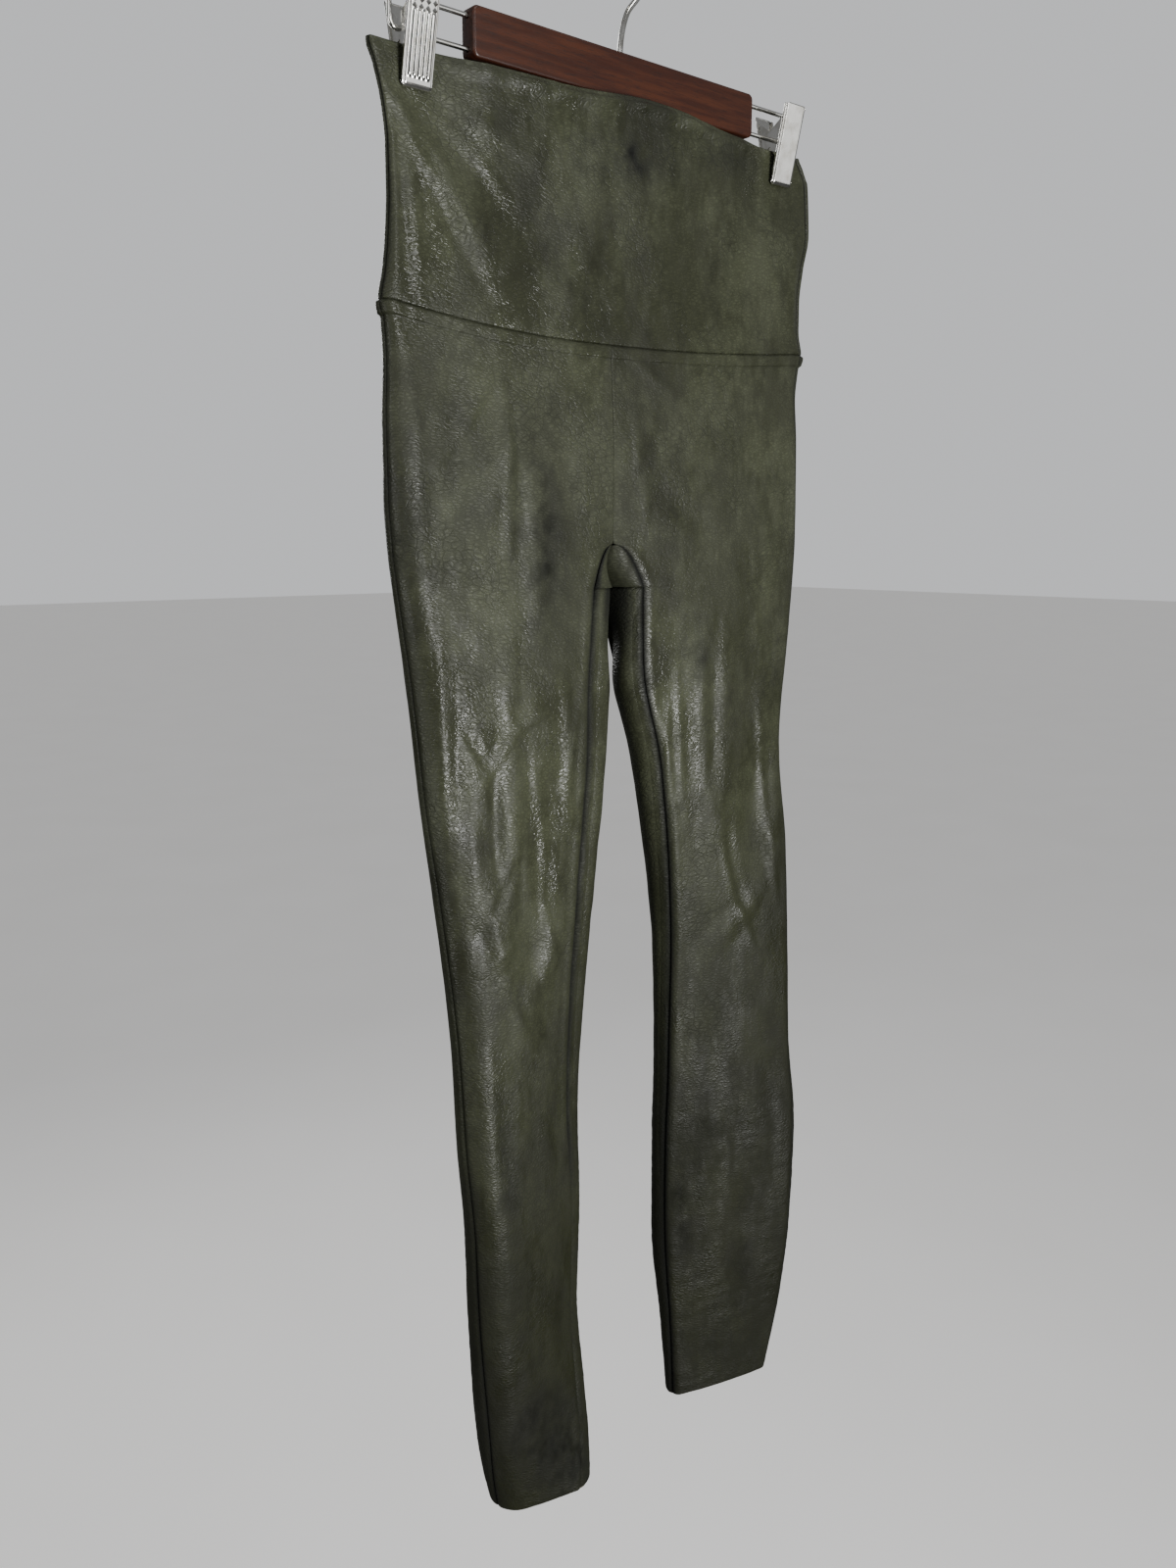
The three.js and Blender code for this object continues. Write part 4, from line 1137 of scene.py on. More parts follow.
        # Painted shadow lines along the seams and grooves, weaker where the cloth turns away from them
        hidden = 1 - 0.85 * smoothstep(-z[:, :1], 790, 880) * (side is Side.LEFT)
        outer_shade = mix(0.25 if side is Side.LEFT else 0.7, 0.9, smoothstep(-z, 780, 900))
        shade = np.maximum(centre * hidden * shadow_falloff(to_end, 3.6), outer_shade * shadow_falloff(to_start, 2.4))
        shade = np.maximum(shade, 0.1 * shadow_falloff(down, 1.6))
        skip = None
        if not front:
            inner_shares = np.concatenate([np.linspace(0.04, 0.92, 24), [0.94, 0.96, 0.978, 0.99, 1]])
            inner = Surface(side, heights, lambda c: (c.total, c.inseam + gap), inner_shares)
            thigh = inner.read(rows[:, None].repeat(len(inner_shares), 1))
            thigh[..., 4] += offset[-1]
            blank = np.repeat(upper[:, -1:], len(inner_shares), 1)
            grid = np.concatenate([grid, np.concatenate([blank, thigh])], 1)
            thigh_z = z[:, -1:].repeat(len(inner_shares), 1)
            z = np.concatenate([z, thigh_z], 1)
            to_seam = np.concatenate([np.zeros(blank.shape[:2]), thigh[..., 4] - thigh[:, -1:, 4]])
            sewn = np.concatenate([sewn, to_seam], 1)
            # Painted shade in the hollow between the thighs under the crotch, and painted shadow along the
            # inseam on the inner strip
            hollow_shade = 0.85 * (1 - smoothstep(-thigh_z, 418, 470)) * smoothstep(to_seam, 5, 16)
            shade = np.concatenate([shade, np.maximum(hidden * shadow_falloff(to_seam, 7.0), hollow_shade)], 1)
            down = np.concatenate([down, np.full(to_seam.shape, FAR)], 1)
            skip = np.zeros((z.shape[0] - 1, z.shape[1] - 1), bool)
            skip[: len(upper), len(shares) - 1 :] = True
        # The pressed allowance under the waist seam, then the cloth along the inseam
        pucker = 1 + 0.4 * wander(grid[..., 4], z, 4.5, 30, 11)
        ends = smoothstep(down, self.allowance_height - 0.7, self.allowance_height + 0.7)
        rise = self.allowance_rise * (smoothstep(down, 0.4, 1.6) * (1 - ends)) * pucker
        if front:
            rise += self.inseam_puff * bell(to_end - 6.5, 5) * inseam * (1 - smoothstep(-z, 700, 900))
        else:
            low_z = -z[:, -1:]
            sunk = self.inseam_sink * np.exp(-((to_seam / 9) ** 2)) * (1 - 0.75 * smoothstep(low_z, 760, 960))
            rise[:, len(shares) :] -= sunk * smoothstep(low_z, 414, 440)
        # The dark patches, partly painted shade, and a painted shadow line under the allowance's lower edge
        shade = np.maximum(shade, dark_patch_shade(grid, z))
        shade = np.maximum(shade, 0.16 * shadow_falloff(np.abs(down - self.allowance_height - 0.4), 1.1))
        shade = np.where(z - self.hem < 0.5, -0.8, shade)
        dip = np.where(sewn < down, SEAM_DIP, WAIST_SEAM_DIP)
        if front:
            dip = np.where(from_end <= np.minimum(down, to_start), mix(CENTRE_DIP, SEAM_DIP, inseam), dip)
        edges = Edges(sewn, z - self.hem, shade, dip)
        outer, inside, cloth = wall_from(grid, z, self.leg_wall, edges, rise)
        wall = closed_wall(outer, inside, cloth, skip)
        return add_mesh(f"cloth_leg_{face.value}_{side.key}", wall, self.material)

    def gusset(self) -> bpy.types.Object:
        """The half cone under the crotch, whose ridge runs from the front down to the back.

        Returns:
            The piece.
        """
        t = np.linspace(0, 1, 15)[1:]
        outer, inner = [], []
        for share in np.linspace(0.04, 1, 18):
            z = mix(CROTCH_FRONT, CROTCH_BACK + CLOTH_GAP / 2, share)
            edges = {
                side: np.array([front_end_x(side, z) - side.value * CLOTH_GAP / 2, self.edge_y(side, z)])
                for side in Side
            }
            front_y = (edges[Side.LEFT][1] + edges[Side.RIGHT][1]) / 2
            ridge_x = mix(FRONT_CENTRE_X, BACK_CENTRE_X, share) - 5 * math.sin(math.pi * share)
            top = np.array([ridge_x, mix(front_y, self.gusset_ridge_back, share**0.6)])
            line, normal = [top[None]], [np.array([[0.0, -1.0]])]
            for side in Side:
                at, near = arch_line(top, edges[side], t), arch_line(top, edges[side], t - 0.04)
                run = (at - near) / np.hypot(*(at - near).T)[:, None]
                out = np.stack([run[:, 1], -run[:, 0]], -1) * side.value
                out[-1] = (0, -1)
                line = [at[::-1], *line] if side is Side.LEFT else [*line, at]
                normal = [out[::-1], *normal] if side is Side.LEFT else [*normal, out]
            at, out = np.concatenate(line), np.concatenate(normal)
            height = np.full((len(at), 1), z)
            outer.append(np.concatenate([at, height], 1))
            inner.append(np.concatenate([at - out * self.leg_wall, height], 1))
        outer, inner = np.array(outer), np.array(inner)
        # Painted shade over the gusset: a darkening all over, more at its edges and along its ridge
        across = np.abs(np.linspace(-1, 1, outer.shape[1]))
        shade = np.broadcast_to(shadow_falloff(1 - across, 0.16), outer.shape[:2])
        shade = shade + 0.6 * shadow_falloff(across, 0.2) + 0.22
        cloth = np.concatenate([outer[..., [0, 2]] * MM, np.clip(shade, 0, 1)[..., None]], -1)
        return add_mesh("cloth_gusset", closed_wall(outer, inner, cloth), self.material)

    @staticmethod
    def edge_y(side: Side, z: float) -> float:
        """Depth of the arch's edge on one side."""
        chain = body_chain(side, z)
        return float(chain.at(chain.total - CLOTH_GAP / 2)[1])


class TreeKind(Enum):
    """The kinds of node group that are made."""

    SHADER = "ShaderNodeTree"
    GEOMETRY = "GeometryNodeTree"


class Graph:
    """A node tree, with a short way to add nodes and join them."""

    def __init__(self, tree: bpy.types.NodeTree) -> None:
        """Keeps the tree."""
        self.tree = tree

    def add(self, kind: str, inputs: dict | None = None, **settings: object) -> bpy.types.Node:
        """Adds a node.

        Args:
            kind: The node's type.
            inputs: Values or sockets for its inputs, by name or number.
            settings: Its other properties.

        Returns:
            The node.
        """
        node = self.tree.nodes.new(kind)
        for name, value in settings.items():
            setattr(node, name, value)
        for name, value in (inputs or {}).items():
            if isinstance(value, bpy.types.NodeSocket):
                self.tree.links.new(value, node.inputs[name])
            else:
                node.inputs[name].default_value = value
        return node

    def math(self, operation: str, *values: object) -> bpy.types.NodeSocket:
        """Adds a sum or other operation and returns its result."""
        return self.add("ShaderNodeMath", dict(enumerate(values)), operation=operation).outputs[0]

    def ramp(self, value: bpy.types.NodeSocket, low: float, high: float) -> bpy.types.NodeSocket:
        """Spreads the range from low to high smoothly over 0 to 1."""
        spread = {"Value": value, "From Min": low, "From Max": high}
        return self.add("ShaderNodeMapRange", spread, interpolation_type="SMOOTHSTEP").outputs[0]

    def noise(self, vector: bpy.types.NodeSocket, scale: float, detail: float = 3.0) -> bpy.types.NodeSocket:
        """Adds a noise texture and returns its value."""
        return self.add("ShaderNodeTexNoise", {"Vector": vector, "Scale": scale, "Detail": detail}).outputs[0]

    def mixed(self, share: object, first: object, second: object, **settings: object) -> bpy.types.NodeSocket:
        """Mixes two colours and returns the result."""
        inputs = {0: share, 6: first, 7: second}
        return self.add("ShaderNodeMix", inputs, data_type="RGBA", **settings).outputs[2]


def group(
    name: str, kind: TreeKind, takes: dict[str, str], gives: dict[str, str]
) -> tuple[Graph, bpy.types.Node, bpy.types.Node]:
    """Makes an empty node group.

    Args:
        name: Its name.
        kind: Whether it is for a material or for a shape.
        takes: Socket types of its inputs by name.
        gives: Socket types of its outputs by name.

    Returns:
        The graph, its input node and its output node.
    """
    tree = bpy.data.node_groups.new(name, kind.value)
    for names, side in ((takes, "INPUT"), (gives, "OUTPUT")):
        for socket, socket_type in names.items():
            tree.interface.new_socket(socket, in_out=side, socket_type=socket_type)
    graph = Graph(tree)
    return graph, graph.add("NodeGroupInput"), graph.add("NodeGroupOutput")


def reptile_grain() -> bpy.types.NodeTree:
    """A shader group that embosses slanting scales, with rows of larger plates here and there.

    Returns:
        The group. It takes a cloth coordinate and gives a height and a mask of the grooves.
    """
    takes = {"Vector": "NodeSocketVector"}
    gives = {"Height": "NodeSocketFloat", "Groove": "NodeSocketFloat"}
    graph, start, end = group("reptile_grain", TreeKind.SHADER, takes, gives)
    place = start.outputs["Vector"]
    bent = graph.add("ShaderNodeTexNoise", {"Vector": place, "Scale": 70.0, "Detail": 1.0})
    shift = graph.add("ShaderNodeVectorMath", {0: bent.outputs["Color"], 3: 0.004}, operation="SCALE")
    moved = graph.add("ShaderNodeVectorMath", {0: place, 1: shift.outputs[0]}, operation="ADD").outputs[0]
    heights = []
    # The fine scales slant, and the larger plates run nearly level
    for turn, size, stretch, width in ((-0.7, 560.0, 2.2, 0.3), (0.12, 230.0, 1.5, 0.12)):
        spread = {"Vector": moved, "Rotation": (0, 0, turn), "Scale": (size / stretch, size, 1)}
        scaled = graph.add("ShaderNodeMapping", spread).outputs[0]
        pattern = {"Vector": scaled, "Scale": 1.0}
        cells = graph.add("ShaderNodeTexVoronoi", pattern, feature="DISTANCE_TO_EDGE")
        heights.append(graph.ramp(cells.outputs["Distance"], 0.0, width))
    scales, plates = heights
    patch = graph.ramp(graph.noise(place, 22.0, 1.0), 0.42, 0.6)
    deep = graph.math("MULTIPLY", graph.math("SUBTRACT", 1.0, plates), patch)
    both = graph.math("SUBTRACT", graph.math("MULTIPLY", scales, 0.6), graph.math("MULTIPLY", deep, 0.6))
    slope = graph.add("ShaderNodeMapping", {"Vector": moved, "Rotation": (0, 0, -0.6), "Scale": (0.3, 1, 1)})
    wrinkles = graph.math("MULTIPLY", graph.noise(slope.outputs[0], 600.0, 2.0), 0.6)
    graph.tree.links.new(graph.math("ADD", both, wrinkles), end.inputs["Height"])
    lines = graph.math("MULTIPLY", graph.math("SUBTRACT", 1.0, scales), 0.6)
    grooves = graph.math("MAXIMUM", lines, graph.math("MULTIPLY", deep, 0.9))
    graph.tree.links.new(grooves, end.inputs["Groove"])
    return graph.tree


def mottle() -> bpy.types.NodeTree:
    """A shader group of uneven patches, as hand-rubbed colour has.

    Returns:
        The group. It takes a place and gives how light, dark and glossy it is there.
    """
    takes = {"Vector": "NodeSocketVector"}
    gives = {name: "NodeSocketFloat" for name in ("Light", "Dark", "Gloss")}
    graph, start, end = group("mottle", TreeKind.SHADER, takes, gives)
    place = start.outputs["Vector"]
    flat = graph.add("ShaderNodeMapping", {"Vector": place, "Scale": (1, 1, 0.75)}).outputs[0]
    fine = graph.math("MULTIPLY", graph.noise(flat, 210.0, 4.0), 0.3)
    small = graph.math("ADD", graph.math("MULTIPLY", graph.noise(flat, 62.0, 5.0), 0.45), fine)
    light = graph.math("ADD", graph.noise(flat, 13.0, 5.0), small)
    moved = graph.add("ShaderNodeMapping", {"Vector": flat, "Location": (3.1, 1.7, 0.4)}).outputs[0]
    spots = graph.math("MULTIPLY", graph.noise(moved, 56.0, 5.0), 0.5)
    dark = graph.math("ADD", graph.noise(moved, 12.0, 5.0), spots)
    graph.tree.links.new(graph.ramp(light, 0.72, 1.06), end.inputs["Light"])
    graph.tree.links.new(graph.ramp(dark, 0.74, 1.0), end.inputs["Dark"])
    streaks = graph.add("ShaderNodeMapping", {"Vector": place, "Scale": (1, 1, 0.4)}).outputs[0]
    broad = graph.noise(streaks, 34.0, 3.0)
    gloss = graph.math("ADD", broad, graph.math("MULTIPLY", graph.noise(streaks, 150.0, 3.0), 0.5))
    graph.tree.links.new(graph.ramp(gloss, 0.6, 0.92), end.inputs["Gloss"])
    return graph.tree


def linear(red: int, green: int, blue: int) -> Colour:
    """Turns a display colour into the linear one that shaders take.

    Args:
        red: Its red, from 0 to 255.
        green: Its green.
        blue: Its blue.

    Returns:
        The linear colour, opaque.
    """

    def channel(value: int) -> float:
        """One channel, made linear."""
        share = value / 255
        return share / 12.92 if share <= 0.04045 else ((share + 0.055) / 1.055) ** 2.4

    return channel(red), channel(green), channel(blue), 1.0


@dataclass(frozen=True)
class LeatherFinish:
    """Faux leather: its colours with their painted shade at seams and low down, how rough it is where smooth,
    dull, low down or sewn, and its grain.
    """

    light: Colour = linear(72, 75, 58)
    middle: Colour = linear(53, 55, 41)
    dark: Colour = linear(34, 34, 28)
    # What the lower legs' colour is multiplied by: painted shade, darker and yellower towards the hems
    low: Colour = (0.2, 0.205, 0.1, 1.0)
    groove: Colour = linear(26, 27, 19)
    # The colour of the painted shadow along seams and grooves, in the hollow between the legs, over the
    # gusset and in the dark patches
    seam: Colour = linear(5, 6, 4)
    rim: Colour = linear(104, 103, 84)
    rubbed_share: float = 0.6
    groove_share: float = 0.6
    smooth: float = 0.13
    dull: float = 0.42
    groove_rough: float = 0.18
    low_rough: float = 0.3
    calm_rough: float = 0.14
    seam_rough: float = 0.45
    specular: float = 0.28
    grain_depth: float = 0.0003
    grain_strength: float = 0.8

    def material(self) -> bpy.types.Material:
        """Makes the material.

        Returns:
            The material.
        """
        made, graph, shader = new_material("faux_leather")
        place = graph.add("ShaderNodeTexCoord").outputs["Object"]
        cloth = graph.add("ShaderNodeUVMap", uv_map="cloth").outputs[0]
        patches = graph.add("ShaderNodeGroup", {}, node_tree=mottle())
        graph.tree.links.new(place, patches.inputs[0])
        grain = graph.add("ShaderNodeGroup", {}, node_tree=reptile_grain())
        graph.tree.links.new(cloth, grain.inputs[0])
        height = graph.add("ShaderNodeSeparateXYZ", {0: place}).outputs[2]
        across = graph.add("ShaderNodeSeparateXYZ", {0: place}).outputs[0]
        # The lower legs get painted shade, the right one from higher up, and they are duller as well
        fallen = graph.math("SUBTRACT", height, graph.math("MAXIMUM", across, 0.0))
        down = graph.ramp(fallen, -0.5, -1.0)
        colour = graph.mixed(patches.outputs["Light"], self.middle, self.light)
        colour = graph.mixed(down, colour, self.low, blend_type="MULTIPLY")
        rubbed = graph.math("MULTIPLY", patches.outputs["Dark"], self.rubbed_share)
        colour = graph.mixed(rubbed, colour, self.dark)
        grooved = graph.math("MULTIPLY", grain.outputs["Groove"], self.groove_share)
        colour = graph.mixed(grooved, colour, self.groove)
        # Painted shade from the mesh's attribute, towards the seam colour; below 0 the attribute gives the
        # pale rim of the hems instead
        shaded = graph.add("ShaderNodeAttribute", attribute_name="painted_shade").outputs["Fac"]
        colour = graph.mixed(shaded, colour, self.seam)
        colour = graph.mixed(graph.math("MULTIPLY", shaded, -1.0), colour, self.rim)
        graph.tree.links.new(colour, shader.inputs["Base Color"])
        shine = graph.math("MULTIPLY", patches.outputs["Gloss"], self.smooth - self.dull)
        worn = graph.math("MULTIPLY", grain.outputs["Groove"], self.groove_rough)
        rough = graph.math("ADD", graph.math("ADD", shine, self.dull), worn)
        rough = graph.math("ADD", rough, graph.math("MULTIPLY", down, self.low_rough))
        # The hips are calmer than the waistband and the thighs
        calm = graph.math("MULTIPLY", graph.ramp(height, -0.22, -0.3), graph.ramp(height, -0.5, -0.41))
        rough = graph.math("ADD", rough, graph.math("MULTIPLY", calm, self.calm_rough))
        rough = graph.math("ADD", rough, graph.math("MULTIPLY", shaded, self.seam_rough))
        graph.tree.links.new(rough, shader.inputs["Roughness"])
        shader.inputs["Specular IOR Level"].default_value = self.specular
        bump = {"Strength": self.grain_strength, "Distance": self.grain_depth}
        raised = graph.add("ShaderNodeBump", {"Height": grain.outputs["Height"], **bump})
        graph.tree.links.new(raised.outputs[0], shader.inputs["Normal"])
        return made


@dataclass(frozen=True)
class WoodFinish:
    """Stained wood under satin lacquer."""

    stain: Colour = linear(52, 25, 15)
    vein: Colour = linear(30, 14, 9)
    warm: Colour = linear(68, 35, 20)
    smooth: float = 0.24
    fibre_rough: float = 0.25
    fibre_depth: float = 0.0002

    def material(self) -> bpy.types.Material:
        """Makes the material.

        Returns:
            The material.
        """
        made, graph, shader = new_material("stained_wood")
        place = graph.add("ShaderNodeTexCoord").outputs["Object"]
        along = graph.add("ShaderNodeMapping", {"Vector": place, "Scale": (0.06, 1, 1)}).outputs[0]
        bands = graph.noise(along, 260.0, 4.0)
        fibres = graph.noise(along, 1900.0, 3.0)
        colour = graph.mixed(graph.ramp(bands, 0.35, 0.65), self.stain, self.warm)
        colour = graph.mixed(graph.math("MULTIPLY", graph.ramp(fibres, 0.52, 0.7), 0.7), colour, self.vein)
        graph.tree.links.new(colour, shader.inputs["Base Color"])
        rough = graph.math("ADD", graph.math("MULTIPLY", fibres, self.fibre_rough), self.smooth)
        graph.tree.links.new(rough, shader.inputs["Roughness"])
        bump = {"Height": fibres, "Strength": 0.25, "Distance": self.fibre_depth}
        graph.tree.links.new(graph.add("ShaderNodeBump", bump).outputs[0], shader.inputs["Normal"])
        return made


@dataclass(frozen=True)
class SteelFinish:
    """Bright nickel plate, faintly clouded and handled."""

    plate: Colour = linear(228, 227, 222)
    tarnish: Colour = linear(196, 193, 184)
    bright: float = 0.13
    handled_rough: float = 0.1

    def material(self) -> bpy.types.Material:
        """Makes the material.

        Returns:
            The material.
        """
        made, graph, shader = new_material("polished_steel")
        place = graph.add("ShaderNodeTexCoord").outputs["Object"]
        cloudy = graph.ramp(graph.noise(place, 110.0, 3.0), 0.4, 0.75)
        worn = graph.ramp(graph.noise(place, 60.0, 2.0), 0.3, 0.8)
        graph.tree.links.new(graph.mixed(cloudy, self.plate, self.tarnish), shader.inputs["Base Color"])
        rough = graph.math("ADD", graph.math("MULTIPLY", worn, self.handled_rough), self.bright)
        graph.tree.links.new(rough, shader.inputs["Roughness"])
        shader.inputs["Metallic"].default_value = 1.0
        return made


def new_material(name: str) -> tuple[bpy.types.Material, Graph, bpy.types.Node]:
    """Makes a material of nodes.

    Args:
        name: Its name.

    Returns:
        The material, its graph and its shader.
    """
    made = bpy.data.materials.new(name)
    made.use_nodes = True
    return made, Graph(made.node_tree), made.node_tree.nodes["Principled BSDF"]


def wire_nodes() -> bpy.types.NodeTree:
    """A geometry group that sweeps a round wire along a curve.

    Returns:
        The group.
    """
    takes = {
        "Geometry": "NodeSocketGeometry",
        "Radius": "NodeSocketFloat",
        "Sides": "NodeSocketInt",
        "Material": "NodeSocketMaterial",
    }
    graph, start, end = group("swept_wire", TreeKind.GEOMETRY, takes, {"Geometry": "NodeSocketGeometry"})
    section = {"Resolution": start.outputs["Sides"], "Radius": start.outputs["Radius"]}
    circle = graph.add("GeometryNodeCurvePrimitiveCircle", section)
    sweep = {"Curve": start.outputs["Geometry"], "Profile Curve": circle.outputs[0], "Fill Caps": True}
    finish_nodes(graph, graph.add("GeometryNodeCurveToMesh", sweep).outputs[0], start, end)
    return graph.tree


def coil_nodes() -> bpy.types.NodeTree:
    """A geometry group that winds a coil of round wire along X.

    Returns:
        The group.
    """
    takes = {
        "Turns": "NodeSocketFloat",
        "Coil Radius": "NodeSocketFloat",
        "Length": "NodeSocketFloat",
        "Wire Radius": "NodeSocketFloat",
        "Centre": "NodeSocketVector",
        "Material": "NodeSocketMaterial",
    }
    graph, start, end = group("wound_coil", TreeKind.GEOMETRY, takes, {"Geometry": "NodeSocketGeometry"})
    winding = {
        "Resolution": 32,
        "Rotations": start.outputs["Turns"],
        "Start Radius": start.outputs["Coil Radius"],
        "End Radius": start.outputs["Coil Radius"],
        "Height": start.outputs["Length"],
    }
    spiral = graph.add("GeometryNodeCurveSpiral", winding).outputs[0]
    section = {"Resolution": 12, "Radius": start.outputs["Wire Radius"]}
    circle = graph.add("GeometryNodeCurvePrimitiveCircle", section)
    sweep = {"Curve": spiral, "Profile Curve": circle.outputs[0], "Fill Caps": True}
    coil = graph.add("GeometryNodeCurveToMesh", sweep).outputs[0]
    half = graph.add("ShaderNodeMath", {0: start.outputs["Length"], 1: -0.5}, operation="MULTIPLY").outputs[0]
    back = graph.add("ShaderNodeCombineXYZ", {"Z": half}).outputs[0]
    centred = graph.add("GeometryNodeTransform", {"Geometry": coil, "Translation": back}).outputs[0]
    turned = {"Geometry": centred, "Rotation": (0, math.pi / 2, 0), "Translation": start.outputs["Centre"]}
    finish_nodes(graph, graph.add("GeometryNodeTransform", turned).outputs[0], start, end)
    return graph.tree


def knurl_nodes() -> bpy.types.NodeTree:
    """A geometry group that sets small pyramids in rows over a grip.

    Returns:
        The group.
    """
    takes = {
        "Width": "NodeSocketFloat",
        "Height": "NodeSocketFloat",
        "Across": "NodeSocketInt",
        "Rows": "NodeSocketInt",
        "Stud": "NodeSocketFloat",
        "Lean": "NodeSocketVector",
        "Centre": "NodeSocketVector",
        "Material": "NodeSocketMaterial",
    }
    graph, start, end = group("knurled_grip", TreeKind.GEOMETRY, takes, {"Geometry": "NodeSocketGeometry"})
    spread = {
        "Size X": start.outputs["Width"],
        "Size Y": start.outputs["Height"],
        "Vertices X": start.outputs["Across"],
        "Vertices Y": start.outputs["Rows"],
    }
    grid = graph.add("GeometryNodeMeshGrid", spread).outputs[0]
    deep = graph.add("ShaderNodeMath", {0: start.outputs["Stud"], 1: 0.7}, operation="MULTIPLY").outputs[0]
    pyramid = {"Vertices": 4, "Radius Top": 0.0001, "Radius Bottom": start.outputs["Stud"], "Depth": deep}
    cone = graph.add("GeometryNodeMeshCone", pyramid).outputs[0]
    studs = graph.add("GeometryNodeInstanceOnPoints", {"Points": grid, "Instance": cone}).outputs[0]
    turned = {"Geometry": studs, "Rotation": start.outputs["Lean"], "Translation": start.outputs["Centre"]}
    finish_nodes(graph, graph.add("GeometryNodeTransform", turned).outputs[0], start, end, smooth=False)
    return graph.tree


def finish_nodes(
    graph: Graph,
    geometry: bpy.types.NodeSocket,
    start: bpy.types.Node,
    end: bpy.types.Node,
    smooth: bool = True,
) -> None:
    """Shades, realizes and gives a material to what a geometry group made.

    Args:
        graph: The group's graph.
        geometry: What it made.
        start: Its input node.
        end: Its output node.
        smooth: Whether the faces are shaded smooth.
    """
    faces = {"Geometry": geometry, "Shade Smooth": smooth}
    shaded = graph.add("GeometryNodeSetShadeSmooth", faces).outputs[0]
    real = graph.add("GeometryNodeRealizeInstances", {"Geometry": shaded}).outputs[0]
    last = {"Geometry": real, "Material": start.outputs["Material"]}
    graph.tree.links.new(graph.add("GeometryNodeSetMaterial", last).outputs[0], end.inputs[0])


def run_nodes(
    name: str, tree: bpy.types.NodeTree, values: dict, base: bpy.types.ID | None = None
) -> bpy.types.Mesh:
    """Runs a geometry group and keeps the mesh that it makes.

    Args:
        name: The mesh's name.
        tree: The group.
        values: Its inputs by name.
        base: The curve or mesh that it starts from, if any.

    Returns:
        The mesh.
    """
    carrier = bpy.data.objects.new(f"{name}_base", base or bpy.data.meshes.new(f"{name}_base"))
    bpy.context.scene.collection.objects.link(carrier)
    modifier = carrier.modifiers.new("nodes", "NODES")
    modifier.node_group = tree
    for item in tree.interface.items_tree:
        if item.in_out == "INPUT" and item.name in values:
            modifier[item.identifier] = values[item.name]
    seen = carrier.evaluated_get(bpy.context.evaluated_depsgraph_get())
    mesh = bpy.data.meshes.new_from_object(seen)
    mesh.name = name
    bpy.data.objects.remove(carrier)
    return mesh


def poly_curve(name: str, points: Sequence[Sequence[float]]) -> bpy.types.Curve:
    """A curve of straight steps.

    Args:
        name: Its name.
        points: Its points in millimetres.

    Returns:
        The curve, in metres.
    """
    curve = bpy.data.curves.new(name, "CURVE")
    curve.dimensions = "3D"
    spline = curve.splines.new("POLY")
    spline.points.add(len(points) - 1)
    for point, place in zip(spline.points, points):
        point.co = (*(value * MM for value in place), 1)
    return curve


def spline_through(points: Sequence[Sequence[float]], steps: int) -> np.ndarray:
    """Points on a smooth curve through the given ones.

    Args:
        points: The given points.
        steps: How many steps lead from each to the next.

    Returns:
        A row for each point of the curve.
    """
    path = np.asarray(points, float)
    ends = np.concatenate([[2 * path[0] - path[1]], path, [2 * path[-1] - path[-2]]])
    made = []
    for i in range(1, len(ends) - 2):
        a, b, c, d = ends[i - 1 : i + 3]
        t = np.linspace(0, 1, steps, endpoint=False)[:, None]
        square, cube = 2 * a - 5 * b + 4 * c - d, 3 * b - a - 3 * c + d
        made.append(0.5 * (2 * b + (c - a) * t + square * t**2 + cube * t**3))
    return np.concatenate([*made, path[-1:]])


def joined_piece(
    name: str, meshes: Sequence[bpy.types.Mesh], material: bpy.types.Material
) -> bpy.types.Object:
    """Joins meshes into one object of one material.

    Args:
        name: The object's name.
        meshes: The meshes, which are used up.
        material: What the object is made of.

    Returns:
        The object, linked to the scene.
    """
    joined = bmesh.new()
    for mesh in meshes:
        joined.from_mesh(mesh)
    data = bpy.data.meshes.new(name)
    joined.to_mesh(data)
    joined.free()
    for mesh in meshes:
        bpy.data.meshes.remove(mesh)
    data.materials.append(material)
    made = bpy.data.objects.new(name, data)
    bpy.context.scene.collection.objects.link(made)
    return made


def drill(solid: bpy.types.Object, centre: Vector, radius: float, length: float, turn: float) -> None:
    """Cuts a round hole into an object.

    Args:
        solid: The object.
        centre: The middle of the hole, in millimetres.
        radius: Its radius in millimetres.
        length: Its length in millimetres.
        turn: How far it is turned about Y from running along Z.
    """
    tool = bmesh.new()
    size = {"radius1": radius * MM, "radius2": radius * MM, "depth": length * MM}
    bmesh.ops.create_cone(tool, cap_ends=True, segments=24, **size)
    data = bpy.data.meshes.new("drill")
    tool.to_mesh(data)
    tool.free()
    cutter = bpy.data.objects.new("drill", data)
    cutter.rotation_euler = (0, turn, 0)
    cutter.location = centre * MM
    bpy.context.scene.collection.objects.link(cutter)
    cut = solid.modifiers.new("bore", "BOOLEAN")
    cut.operation, cut.object, cut.solver = "DIFFERENCE", cutter, "EXACT"
    bpy.context.view_layer.update()
    seen = solid.evaluated_get(bpy.context.evaluated_depsgraph_get())
    before = solid.data
    result = bpy.data.meshes.new_from_object(seen)
    solid.modifiers.clear()
    solid.data = result
    bpy.data.meshes.remove(before)
    bpy.data.objects.remove(cutter)


